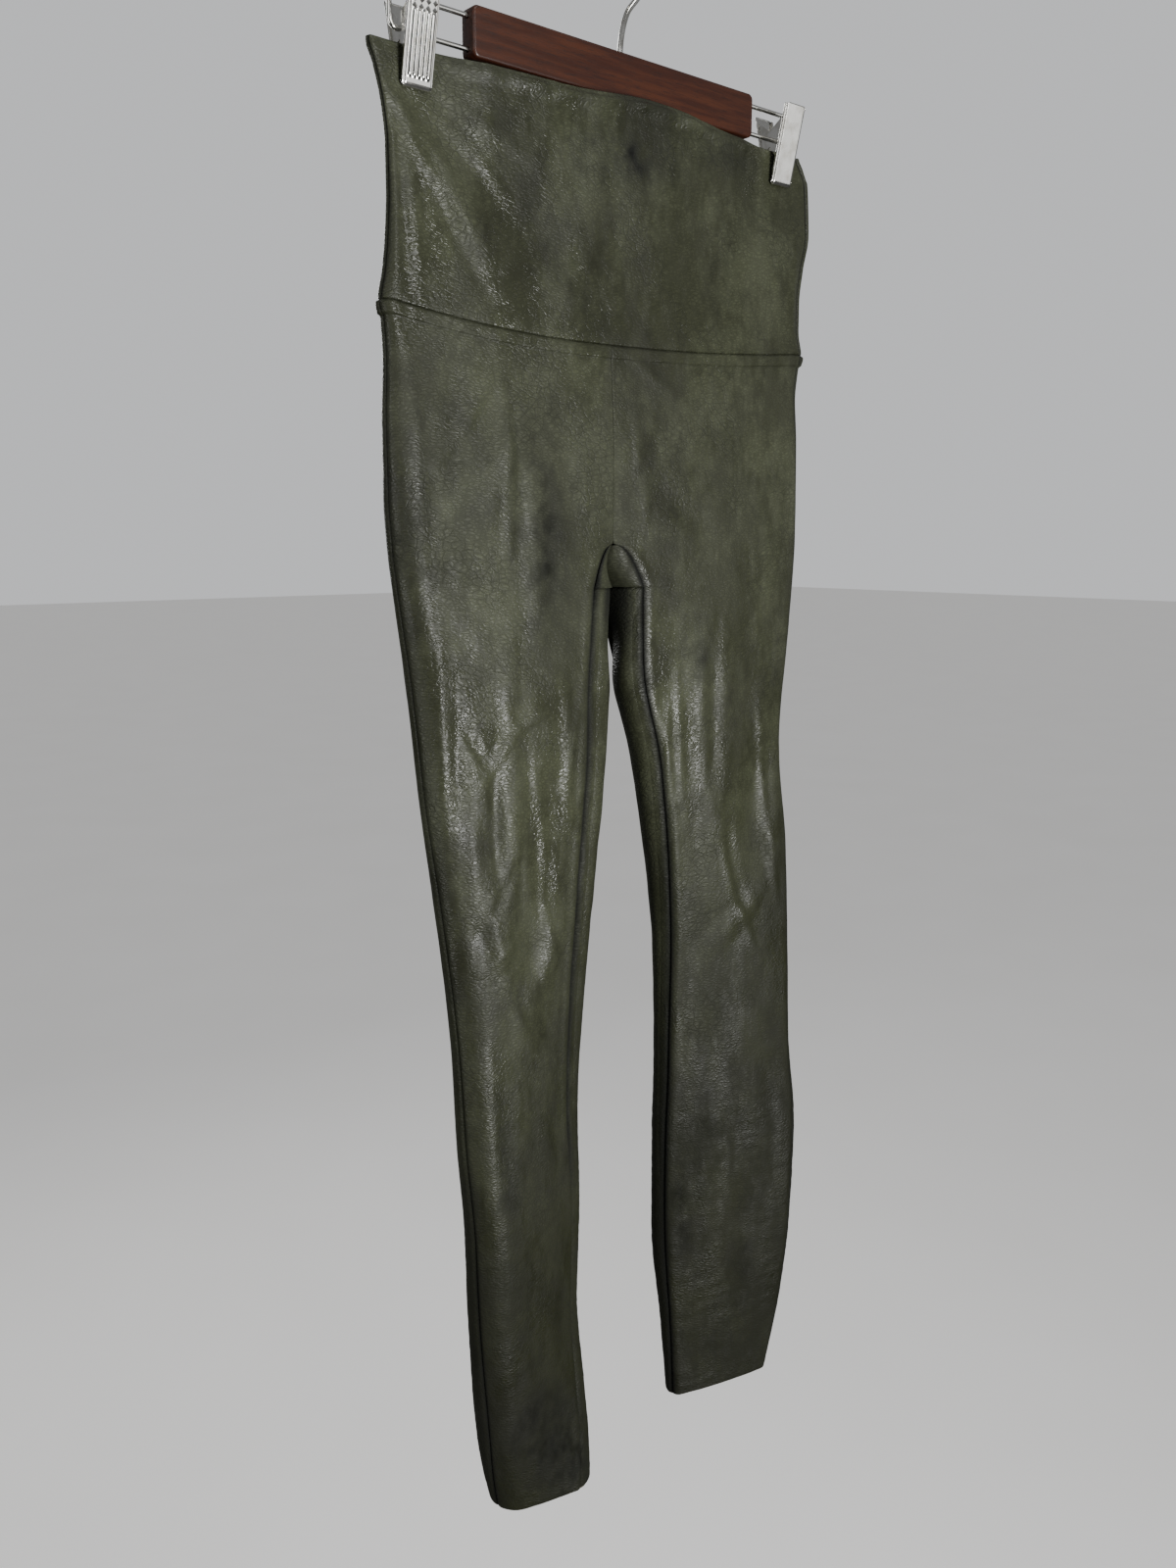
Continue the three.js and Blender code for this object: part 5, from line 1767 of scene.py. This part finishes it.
@dataclass
class Clip:
    """One sprung clip: two jaws of bent sheet and a coil. Sizes are in millimetres."""

    side: Side
    steel: bpy.types.Material
    pivot_height: float
    coil: bpy.types.NodeTree
    knurl: bpy.types.NodeTree
    fluted: bool
    sizes: ClipSizes = CLIP
    bend: float = 1.2
    ear_sheet: float = 0.9
    coil_radius: float = 2.15
    coil_length: float = 8.4
    coil_wire: float = 0.66
    stud: float = 1.7
    studs_across: int = 4
    stud_rows: int = 4

    def spring(self) -> bpy.types.Object:
        """The coil that presses the jaws together.

        Returns:
            The coil, round the loop's lower wire.
        """
        values = {
            "Turns": 4.5,
            "Coil Radius": self.coil_radius * MM,
            "Length": self.coil_length * MM,
            "Wire Radius": self.coil_wire / 2 * MM,
            "Centre": (CLIP_X[self.side] * MM, 0, self.pivot_height * MM),
            "Material": self.steel,
        }
        wound = run_nodes("coil", self.coil, values)
        return joined_piece(f"steel_spring_{self.side.key}", [wound], self.steel)

    def jaw(self, face: Face) -> bpy.types.Object:
        """One jaw: a sheet bent into a channel, with a lip below, two ears and a grip above.

        Args:
            face: The front jaw, or the plain back one that fits inside it.

        Returns:
            The jaw, at its clip.
        """
        sizes, front = self.sizes, face is Face.FRONT
        nest = 0.0 if front else sizes.sheet + sizes.clearance + 0.2
        half = sizes.width / 2 - nest
        top = sizes.top if front else sizes.top - 2.5
        bottom = sizes.bottom if front else sizes.bottom + 1.5
        height = top - bottom
        lip = sizes.bite + sizes.clearance
        slope = (12.4 if front else 9.4) / height
        face_y = -lip - 3.2
        # Down the sheet, from the lip's inner edge round its bottom and up to the grip
        curl = [(-lip - 0.2, 3.4), (-lip - 0.2, 2.2), (-lip - 0.35, 1.1), (-lip - 0.9, 0.35)]
        curl += [(-lip - 1.7, 0.02), (-lip - 2.5, 0.3), (face_y + 0.12, 1.1)]
        rise = [(face_y - slope * z, z) for z in np.linspace(2.2, height - 0.6, 70)]
        tip = [(face_y - slope * height + 0.25, height), (face_y - slope * height + 1.1, height + 0.1)]
        down = np.array([*curl, *rise, *tip])
        run = np.gradient(down, axis=0)
        run /= np.hypot(*run.T)[:, None]
        out = np.stack([-run[:, 1], run[:, 0]], -1)
        # Across the sheet, from one flange over the face to the other
        line, on_flange = self.section(half)
        depth = line[:, 1].copy()
        reach = np.array([smoothstep(z, 3, 9) for z in down[:, 1]])
        flange = self.bend + (sizes.flange - self.bend) * depth[None] * reach[:, None]
        inward = np.where(on_flange[None], flange, depth[None])
        ribbed = front and self.fluted
        ribs = self.flutes(line[:, 0], down[:, 1], half, height) if ribbed else np.zeros(inward.shape)
        x = np.broadcast_to(line[:, 0], inward.shape)
        y = down[:, :1] - out[:, :1] * (inward - ribs)
        z = down[:, 1:] - out[:, 1:] * (inward - ribs)
        outer = np.stack([x, y, z], -1)
        edge = np.gradient(np.stack([line[:, 0], np.where(on_flange, self.bend + depth, depth)], -1), axis=0)
        edge /= np.hypot(*edge.T)[:, None]
        side_x, side_d = -edge[:, 1], edge[:, 0]
        inner = outer.copy()
        inner[..., 0] -= side_x * sizes.sheet
        inner[..., 1] -= out[:, :1] * side_d * sizes.sheet
        inner[..., 2] -= out[:, 1:] * side_d * sizes.sheet
        shell = add_mesh("jaw_sheet", closed_wall(outer, inner, outer * (MM, 0, 0)), self.steel)
        parts = [shell.data]
        bpy.data.objects.remove(shell)
        pivot = self.pivot_height - bottom
        parts += [self.ear(end * (half - sizes.sheet / 2), pivot, face_y, slope) for end in (-1, 1)]
        if ribbed:
            parts.append(self.grip(half, height, face_y, slope))
        made = joined_piece(f"steel_{'front' if front else 'rear'}_jaw_{self.side.key}", parts, self.steel)
        flip = 1 if front else -1
        for vertex in made.data.vertices:
            x, y, z = vertex.co
            vertex.co = (flip * x + CLIP_X[self.side] * MM, flip * y, z + bottom * MM)
        made.data.update()
        return made

    def section(self, half: float) -> tuple[np.ndarray, np.ndarray]:
        """The bent sheet's section, level across the jaw.

        Args:
            half: Half of the jaw's width.

        Returns:
            The x and depth of each point, where a flange's depth is its share of the way, and whether each
            point is on a flange.
        """
        bend = self.bend
        quarter = np.linspace(0, math.pi / 2, 6)
        corner = [(-half + bend - bend * math.cos(a), bend - bend * math.sin(a)) for a in quarter]
        middle = [(x, 0.0) for x in np.linspace(-half + bend, half - bend, 61)[1:-1]]
        flange = [(-half, d) for d in (1.0, 0.75, 0.5, 0.25)]
        left = [*flange, *corner]
        line = np.array([*left, *middle, *[(-x, d) for x, d in left[::-1]]])
        on_flange = np.zeros(len(line), bool)
        on_flange[: len(flange)] = on_flange[-len(flange) :] = True
        return line, on_flange

    def grip(self, half: float, height: float, face_y: float, slope: float) -> bpy.types.Mesh:
        """The rows of studs on the upper end of a jaw.

        Args:
            half: Half of the jaw's width.
            height: The jaw's height.
            face_y: Where its face starts below.
            slope: How far the face leans out for each millimetre of height.

        Returns:
            The studs.
        """
        centre_z = height * 0.855
        values = {
            "Width": (2 * half - 5) * MM,
            "Height": height * 0.2 * MM,
            "Across": self.studs_across,
            "Rows": self.stud_rows,
            "Stud": self.stud * MM,
            "Lean": (math.pi / 2 + math.atan(slope), 0, 0),
            "Centre": (0, (face_y - slope * centre_z - 0.05) * MM, centre_z * MM),
            "Material": self.steel,
        }
        return run_nodes("knurl", self.knurl, values)

    def flutes(self, x: np.ndarray, z: np.ndarray, half: float, height: float) -> np.ndarray:
        """The rise of the rounded flutes that run up the face and end under the grip.

        Args:
            x: Places across the jaw.
            z: Heights above its bottom.
            half: Half of its width.
            height: Its height.

        Returns:
            The rise at each height and place.
        """
        margin = 1.6
        pitch = (2 * half - 2 * margin) / self.sizes.flutes
        wave = np.abs(np.sin((x + half - margin) / pitch * math.pi))
        wave = np.where(np.abs(x) < half - margin, wave, 0)
        run = smoothstep(z, 4.5, 6.5) * (1 - smoothstep(z, height * 0.71, height * 0.75))
        return 0.85 * wave[None] ** 0.8 * run[:, None]

    def ear(self, x: float, pivot: float, face_y: float, slope: float) -> bpy.types.Mesh:
        """A flat ear from the channel to the loop's lower wire, which is its pivot.

        Args:
            x: The middle of its sheet.
            pivot: The pivot's height above the jaw's bottom.
            face_y: Where the jaw's face starts below.
            slope: How far the face leans out for each millimetre of height.

        Returns:
            The ear.
        """
        outline = [(face_y - slope * (pivot - 15) + 1.2, pivot - 15), (-1.4, pivot - 5.6), (1.6, pivot - 4.2)]
        outline += [(2.8, pivot - 2), (2.8, pivot + 2), (1.4, pivot + 4)]
        outline += [(face_y - slope * (pivot + 15) + 1.2, pivot + 15)]
        made = bmesh.new()
        corners = [made.verts.new(((x - self.ear_sheet / 2) * MM, y * MM, z * MM)) for y, z in outline]
        sheet = made.faces.new(corners)
        grown = bmesh.ops.extrude_face_region(made, geom=[sheet])["geom"]
        moved = [v for v in grown if isinstance(v, bmesh.types.BMVert)]
        bmesh.ops.translate(made, vec=(self.ear_sheet * MM, 0, 0), verts=moved)
        bmesh.ops.bevel(made, geom=list(made.edges), offset=0.2 * MM, segments=2, affect="EDGES")
        bmesh.ops.recalc_face_normals(made, faces=made.faces)
        data = bpy.data.meshes.new("ear")
        made.to_mesh(data)
        made.free()
        return data


@dataclass
class Hanger:
    """The bar, the hook, the wire loops and the clips. Sizes are in millimetres."""

    wood: bpy.types.Material
    steel: bpy.types.Material
    bar_length: float = 240.5
    bar_height: float = 28.7
    bar_thickness: float = 13.0
    bar_top: float = -71.0
    corner_round: float = 4.0
    rim_round: float = 1.8
    bore_clearance: float = 0.3
    hook_wire: float = 3.8
    hook_radius: float = 21.0
    hook_seat: float = 14.0
    loop_wire: float = 3.0
    loop_spacing: float = 18.3
    loop_reach: float = 173.5
    loop_corner: float = 5.0
    loop_seat: float = 9.0
    sweep: bpy.types.NodeTree = field(init=False)
    clips: dict[Side, Clip] = field(init=False)

    def __post_init__(self) -> None:
        """Makes the geometry groups and the clips. Only the left one has its fluted jaw in front."""
        self.sweep = wire_nodes()
        coil, knurl = coil_nodes(), knurl_nodes()
        low = self.wire_low
        self.clips = {side: Clip(side, self.steel, low, coil, knurl, side is Side.LEFT) for side in Side}

    @property
    def wire_high(self) -> float:
        """Height of a loop's upper wire."""
        return self.bar_top - self.bar_height / 2 + self.loop_spacing / 2

    @property
    def wire_low(self) -> float:
        """Height of a loop's lower wire, on which its clip turns."""
        return self.wire_high - self.loop_spacing

    def dress(self) -> dict[str, bpy.types.Object]:
        """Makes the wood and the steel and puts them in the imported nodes' places.

        Returns:
            The pieces by the names of the nodes that they stand for, the wooden bar first.
        """
        bar = self.bar()
        stand_for(bar, "hanger_bar")
        steel = {"hanger_hook": self.hook()}
        for side, clip in self.clips.items():
            steel[f"wire_loop_{side.key}"] = self.loop(side)
            steel[f"clip_spring_{side.key}"] = clip.spring()
            steel[f"clip_front_jaw_{side.key}"] = clip.jaw(Face.FRONT)
            steel[f"clip_rear_jaw_{side.key}"] = clip.jaw(Face.BACK)
        for node, piece in steel.items():
            stand_for(piece, node)
        return {"hanger_bar": bar, **steel}

    def wire(self, name: str, points: Sequence[Sequence[float]], diameter: float) -> bpy.types.Mesh:
        """Sweeps a wire through points.

        Args:
            name: The mesh's name.
            points: The points in millimetres.
            diameter: The wire's thickness in millimetres.

        Returns:
            The wire.
        """
        values = {"Radius": diameter / 2 * MM, "Sides": 20, "Material": self.steel}
        return run_nodes(name, self.sweep, values, poly_curve(name, points))

    def bar(self) -> bpy.types.Object:
        """The wooden bar, rounded along its edges and bored for the hook and the loops.

        Returns:
            The bar.
        """
        made = bmesh.new()
        bmesh.ops.create_cube(made, size=1)
        size = Vector((self.bar_length, self.bar_thickness, self.bar_height)) * MM
        bmesh.ops.scale(made, vec=size, verts=made.verts)
        upright = [e for e in made.edges if abs((e.verts[0].co - e.verts[1].co).y) > 0.001]
        corner, rim = self.corner_round * MM, self.rim_round * MM
        bmesh.ops.bevel(made, geom=upright, offset=corner, segments=6, profile=0.5, affect="EDGES")
        rims = [e for e in made.edges if abs((e.verts[0].co - e.verts[1].co).y) < 1e-6]
        bmesh.ops.bevel(made, geom=rims, offset=rim, segments=5, profile=0.5, affect="EDGES")
        bmesh.ops.translate(made, vec=(0, 0, (self.bar_top - self.bar_height / 2) * MM), verts=made.verts)
        data = bpy.data.meshes.new("wooden_bar")
        made.to_mesh(data)
        made.free()
        solid = bpy.data.objects.new("wooden_bar", data)
        bpy.context.scene.collection.objects.link(solid)
        # Each bore passes the bar's surface by a little, so that it opens cleanly
        hook_bore = self.hook_wire / 2 + self.bore_clearance
        loop_bore = self.loop_wire / 2 + self.bore_clearance
        depth = self.loop_seat + 1
        bores = [((0, 0, self.bar_top - self.hook_seat / 2), hook_bore, self.hook_seat + 1, 0.0)]
        for side in Side:
            x = side.value * (self.bar_length / 2 - depth / 2 + 0.5)
            bores += [((x, 0, z), loop_bore, depth, math.pi / 2) for z in (self.wire_high, self.wire_low)]
        for centre, radius, length, turn in bores:
            drill(solid, Vector(centre), radius, length, turn)
        data = solid.data
        data.materials.clear()
        data.materials.append(self.wood)
        data.polygons.foreach_set("use_smooth", np.ones(len(data.polygons), bool))
        data.set_sharp_from_angle(angle=math.radians(40))
        return solid

    def hook(self) -> bpy.types.Object:
        """The hook: a stem that leans to the right, then three quarters of a circle over the top.

        Returns:
            The hook, with a round end.
        """
        radius, low = self.hook_radius, self.bar_top
        centre_z = -radius + self.hook_wire / 2
        stem = [(0, 0, low - self.hook_seat), (0, 0, low), (1.8, 0, low + 14), (6.5, 0, low + 27)]
        turns = [math.radians(a) for a in (-45, -20, 5, 30, 55, 80, 105, 130, 155, 180, 203)]
        arc = [(radius * math.cos(a), 0, centre_z + radius * math.sin(a)) for a in turns]
        path = spline_through([*stem, *arc], 8)
        ball = bmesh.new()
        bmesh.ops.create_uvsphere(ball, u_segments=24, v_segments=14, radius=self.hook_wire / 2 * MM)
        bmesh.ops.translate(ball, vec=Vector(path[-1]) * MM, verts=ball.verts)
        end = bpy.data.meshes.new("hook_end")
        ball.to_mesh(end)
        ball.free()
        made = joined_piece("steel_hook", [self.wire("hook_wire", path, self.hook_wire), end], self.steel)
        made.data.polygons.foreach_set("use_smooth", np.ones(len(made.data.polygons), bool))
        return made

    def loop(self, side: Side) -> bpy.types.Object:
        """The long wire loop that comes out of one end of the bar.

        Args:
            side: The bar's end.

        Returns:
            The loop.
        """
        corner, high, low = self.loop_corner, self.wire_high, self.wire_low
        start = side.value * (self.bar_length / 2 - self.loop_seat)
        bend = side.value * (self.loop_reach - corner)
        points = [(x, 0, high) for x in np.linspace(start, bend, 8)[:-1]]
        for z, first in ((high - corner, math.pi / 2), (low + corner, 0.0)):
            for angle in np.linspace(first, first - math.pi / 2, 9):
                points.append((bend + side.value * corner * math.cos(angle), 0, z + corner * math.sin(angle)))
        points += [(x, 0, low) for x in np.linspace(bend, start, 8)[1:]]
        swept = self.wire("loop_wire", points, self.loop_wire)
        return joined_piece(f"steel_loop_{side.key}", [swept], self.steel)


@dataclass(frozen=True)
class Cut:
    """The flat size that one piece of cloth was cut to, in metres and square metres."""

    width: float
    length: float
    area: float


@dataclass(frozen=True)
class Softbox:
    """A soft studio light: its place, the sides of its panel in metres, its power and its target."""

    name: str
    place: tuple[float, float, float]
    size: tuple[float, float]
    watts: float
    target: tuple[float, float, float] = (0.0, 0.0, -0.55)
    for_steel: bool = False

    def hang(self, bright: bpy.types.Collection) -> None:
        """Adds the light to the scene.

        Args:
            bright: The steel pieces, which are all that a light for steel falls on.
        """
        data = bpy.data.lights.new(self.name, "AREA")
        data.shape = "RECTANGLE"
        data.size, data.size_y = self.size
        data.energy = self.watts
        lamp = bpy.data.objects.new(self.name, data)
        lamp.location = self.place
        lamp.visible_camera = False
        if self.for_steel:
            lamp.light_linking.receiver_collection = bright
        aim = Vector(self.target) - Vector(self.place)
        lamp.rotation_euler = aim.to_track_quat("-Z", "Y").to_euler()
        bpy.context.scene.collection.objects.link(lamp)


LIGHTS = [
    Softbox("key", (0.08, -1.45, -0.8), (0.6, 0.42), 28.0, (-0.03, 0.0, -0.55)),
    Softbox("key_high", (-0.15, -1.5, 0.05), (0.4, 0.6), 7.2, (-0.05, 0.0, -0.25)),
    Softbox("fill", (-1.5, -0.9, 0.4), (0.6, 0.8), 3.2, (0.0, 0.0, -0.4)),
    Softbox("top", (0.1, -1.0, 1.2), (0.5, 0.3), 5.0),
    Softbox("back", (0.3, 1.9, 0.3), (1.0, 1.2), 22.0),
    Softbox("side", (-1.7, 0.05, -0.55), (0.5, 1.3), 9.0),
    Softbox("steel", (0.75, -1.5, -0.15), (1.7, 1.0), 6.0, (0.0, 0.0, -0.1), True),
]


@dataclass(frozen=True)
class Studio:
    """The camera, the lights, the surround and the floor. Sizes are in metres and angles in degrees."""

    eye: tuple[float, float, float] = (-0.58674, -0.66539, -0.378)
    heading: float = 40.0716
    tilt: float = 11.165
    sensor: float = 36.0
    focal_pixels: float = 1274.17
    frame_pixels: int = 1600
    air: Colour = (0.92, 0.93, 0.95, 1)
    air_strength: float = 0.23
    air_seen: float = 0.47
    floor_height: float = -1.9
    floor_reach: float = 30
    floor_glow: float = 0.42
    floor_unseen: Colour = linear(110, 110, 108)

    def camera(self) -> None:
        """Sets the camera where the picture was taken from."""
        data = bpy.data.cameras.new("camera")
        data.sensor_width = self.sensor
        data.lens = self.sensor * self.focal_pixels / self.frame_pixels
        data.clip_start, data.clip_end = 0.01, 50.0
        camera = bpy.data.objects.new("camera", data)
        camera.location = self.eye
        camera.rotation_euler = (math.pi / 2 - math.radians(self.tilt), 0.0, -math.radians(self.heading))
        bpy.context.scene.collection.objects.link(camera)
        bpy.context.scene.camera = camera

    def lights(self, steel: Sequence[bpy.types.Object]) -> None:
        """Adds the softboxes and a surround that is paler to the camera than to the leather.

        Args:
            steel: The bright pieces, which one of the softboxes is for.
        """
        bright = bpy.data.collections.new("bright_steel")
        for piece in steel:
            bright.objects.link(piece)
        for light in LIGHTS:
            light.hang(bright)
        world = bpy.data.worlds.new("studio")
        world.use_nodes = True
        graph = Graph(world.node_tree)
        background = world.node_tree.nodes["Background"]
        background.inputs["Color"].default_value = self.air
        seen = graph.add("ShaderNodeLightPath").outputs["Is Camera Ray"]
        strength = graph.math("ADD", graph.math("MULTIPLY", seen, self.air_seen), self.air_strength)
        graph.tree.links.new(strength, background.inputs["Strength"])
        bpy.context.scene.world = world

    def floor(self) -> None:
        """Adds a plain pale floor under the hems."""
        made = bmesh.new()
        bmesh.ops.create_grid(made, x_segments=2, y_segments=2, size=self.floor_reach)
        bmesh.ops.translate(made, vec=(0, 0, self.floor_height), verts=made.verts)
        data = bpy.data.meshes.new("floor")
        made.to_mesh(data)
        made.free()
        paint, graph, shader = new_material("pale_floor")
        place = graph.add("ShaderNodeTexCoord").outputs["Object"]
        shade = graph.mixed(graph.noise(place, 3.0), linear(222, 221, 219), linear(228, 227, 226))
        seen = graph.add("ShaderNodeLightPath").outputs["Is Camera Ray"]
        graph.tree.links.new(graph.mixed(seen, self.floor_unseen, shade), shader.inputs["Base Color"])
        graph.tree.links.new(graph.mixed(seen, (0, 0, 0, 1), shade), shader.inputs["Emission Color"])
        shader.inputs["Emission Strength"].default_value = self.floor_glow
        shader.inputs["Roughness"].default_value = 0.9
        data.materials.append(paint)
        floor = bpy.data.objects.new("floor", data)
        bpy.context.scene.collection.objects.link(floor)


def stand_for(piece: bpy.types.Object, node: str) -> None:
    """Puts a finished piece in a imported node's place.

    Args:
        piece: The piece.
        node: The node that it stands for.
    """
    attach(piece, "root")
    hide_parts(node)


def main() -> None:
    """Builds the scene and reports each piece."""
    logging.basicConfig(level=logging.INFO, format="%(message)s")
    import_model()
    studio = Studio()
    studio.camera()
    cloth = Leggings(LeatherFinish().material()).dress()
    hanger = Hanger(WoodFinish().material(), SteelFinish().material()).dress()
    for node, piece in {**cloth, **hanger}.items():
        log.info("%s: %d corners", node, len(piece.data.vertices))
    studio.lights([piece for node, piece in hanger.items() if node != "hanger_bar"])
    studio.floor()
    bpy.context.view_layer.update()


if __name__ == "__main__":
    main()
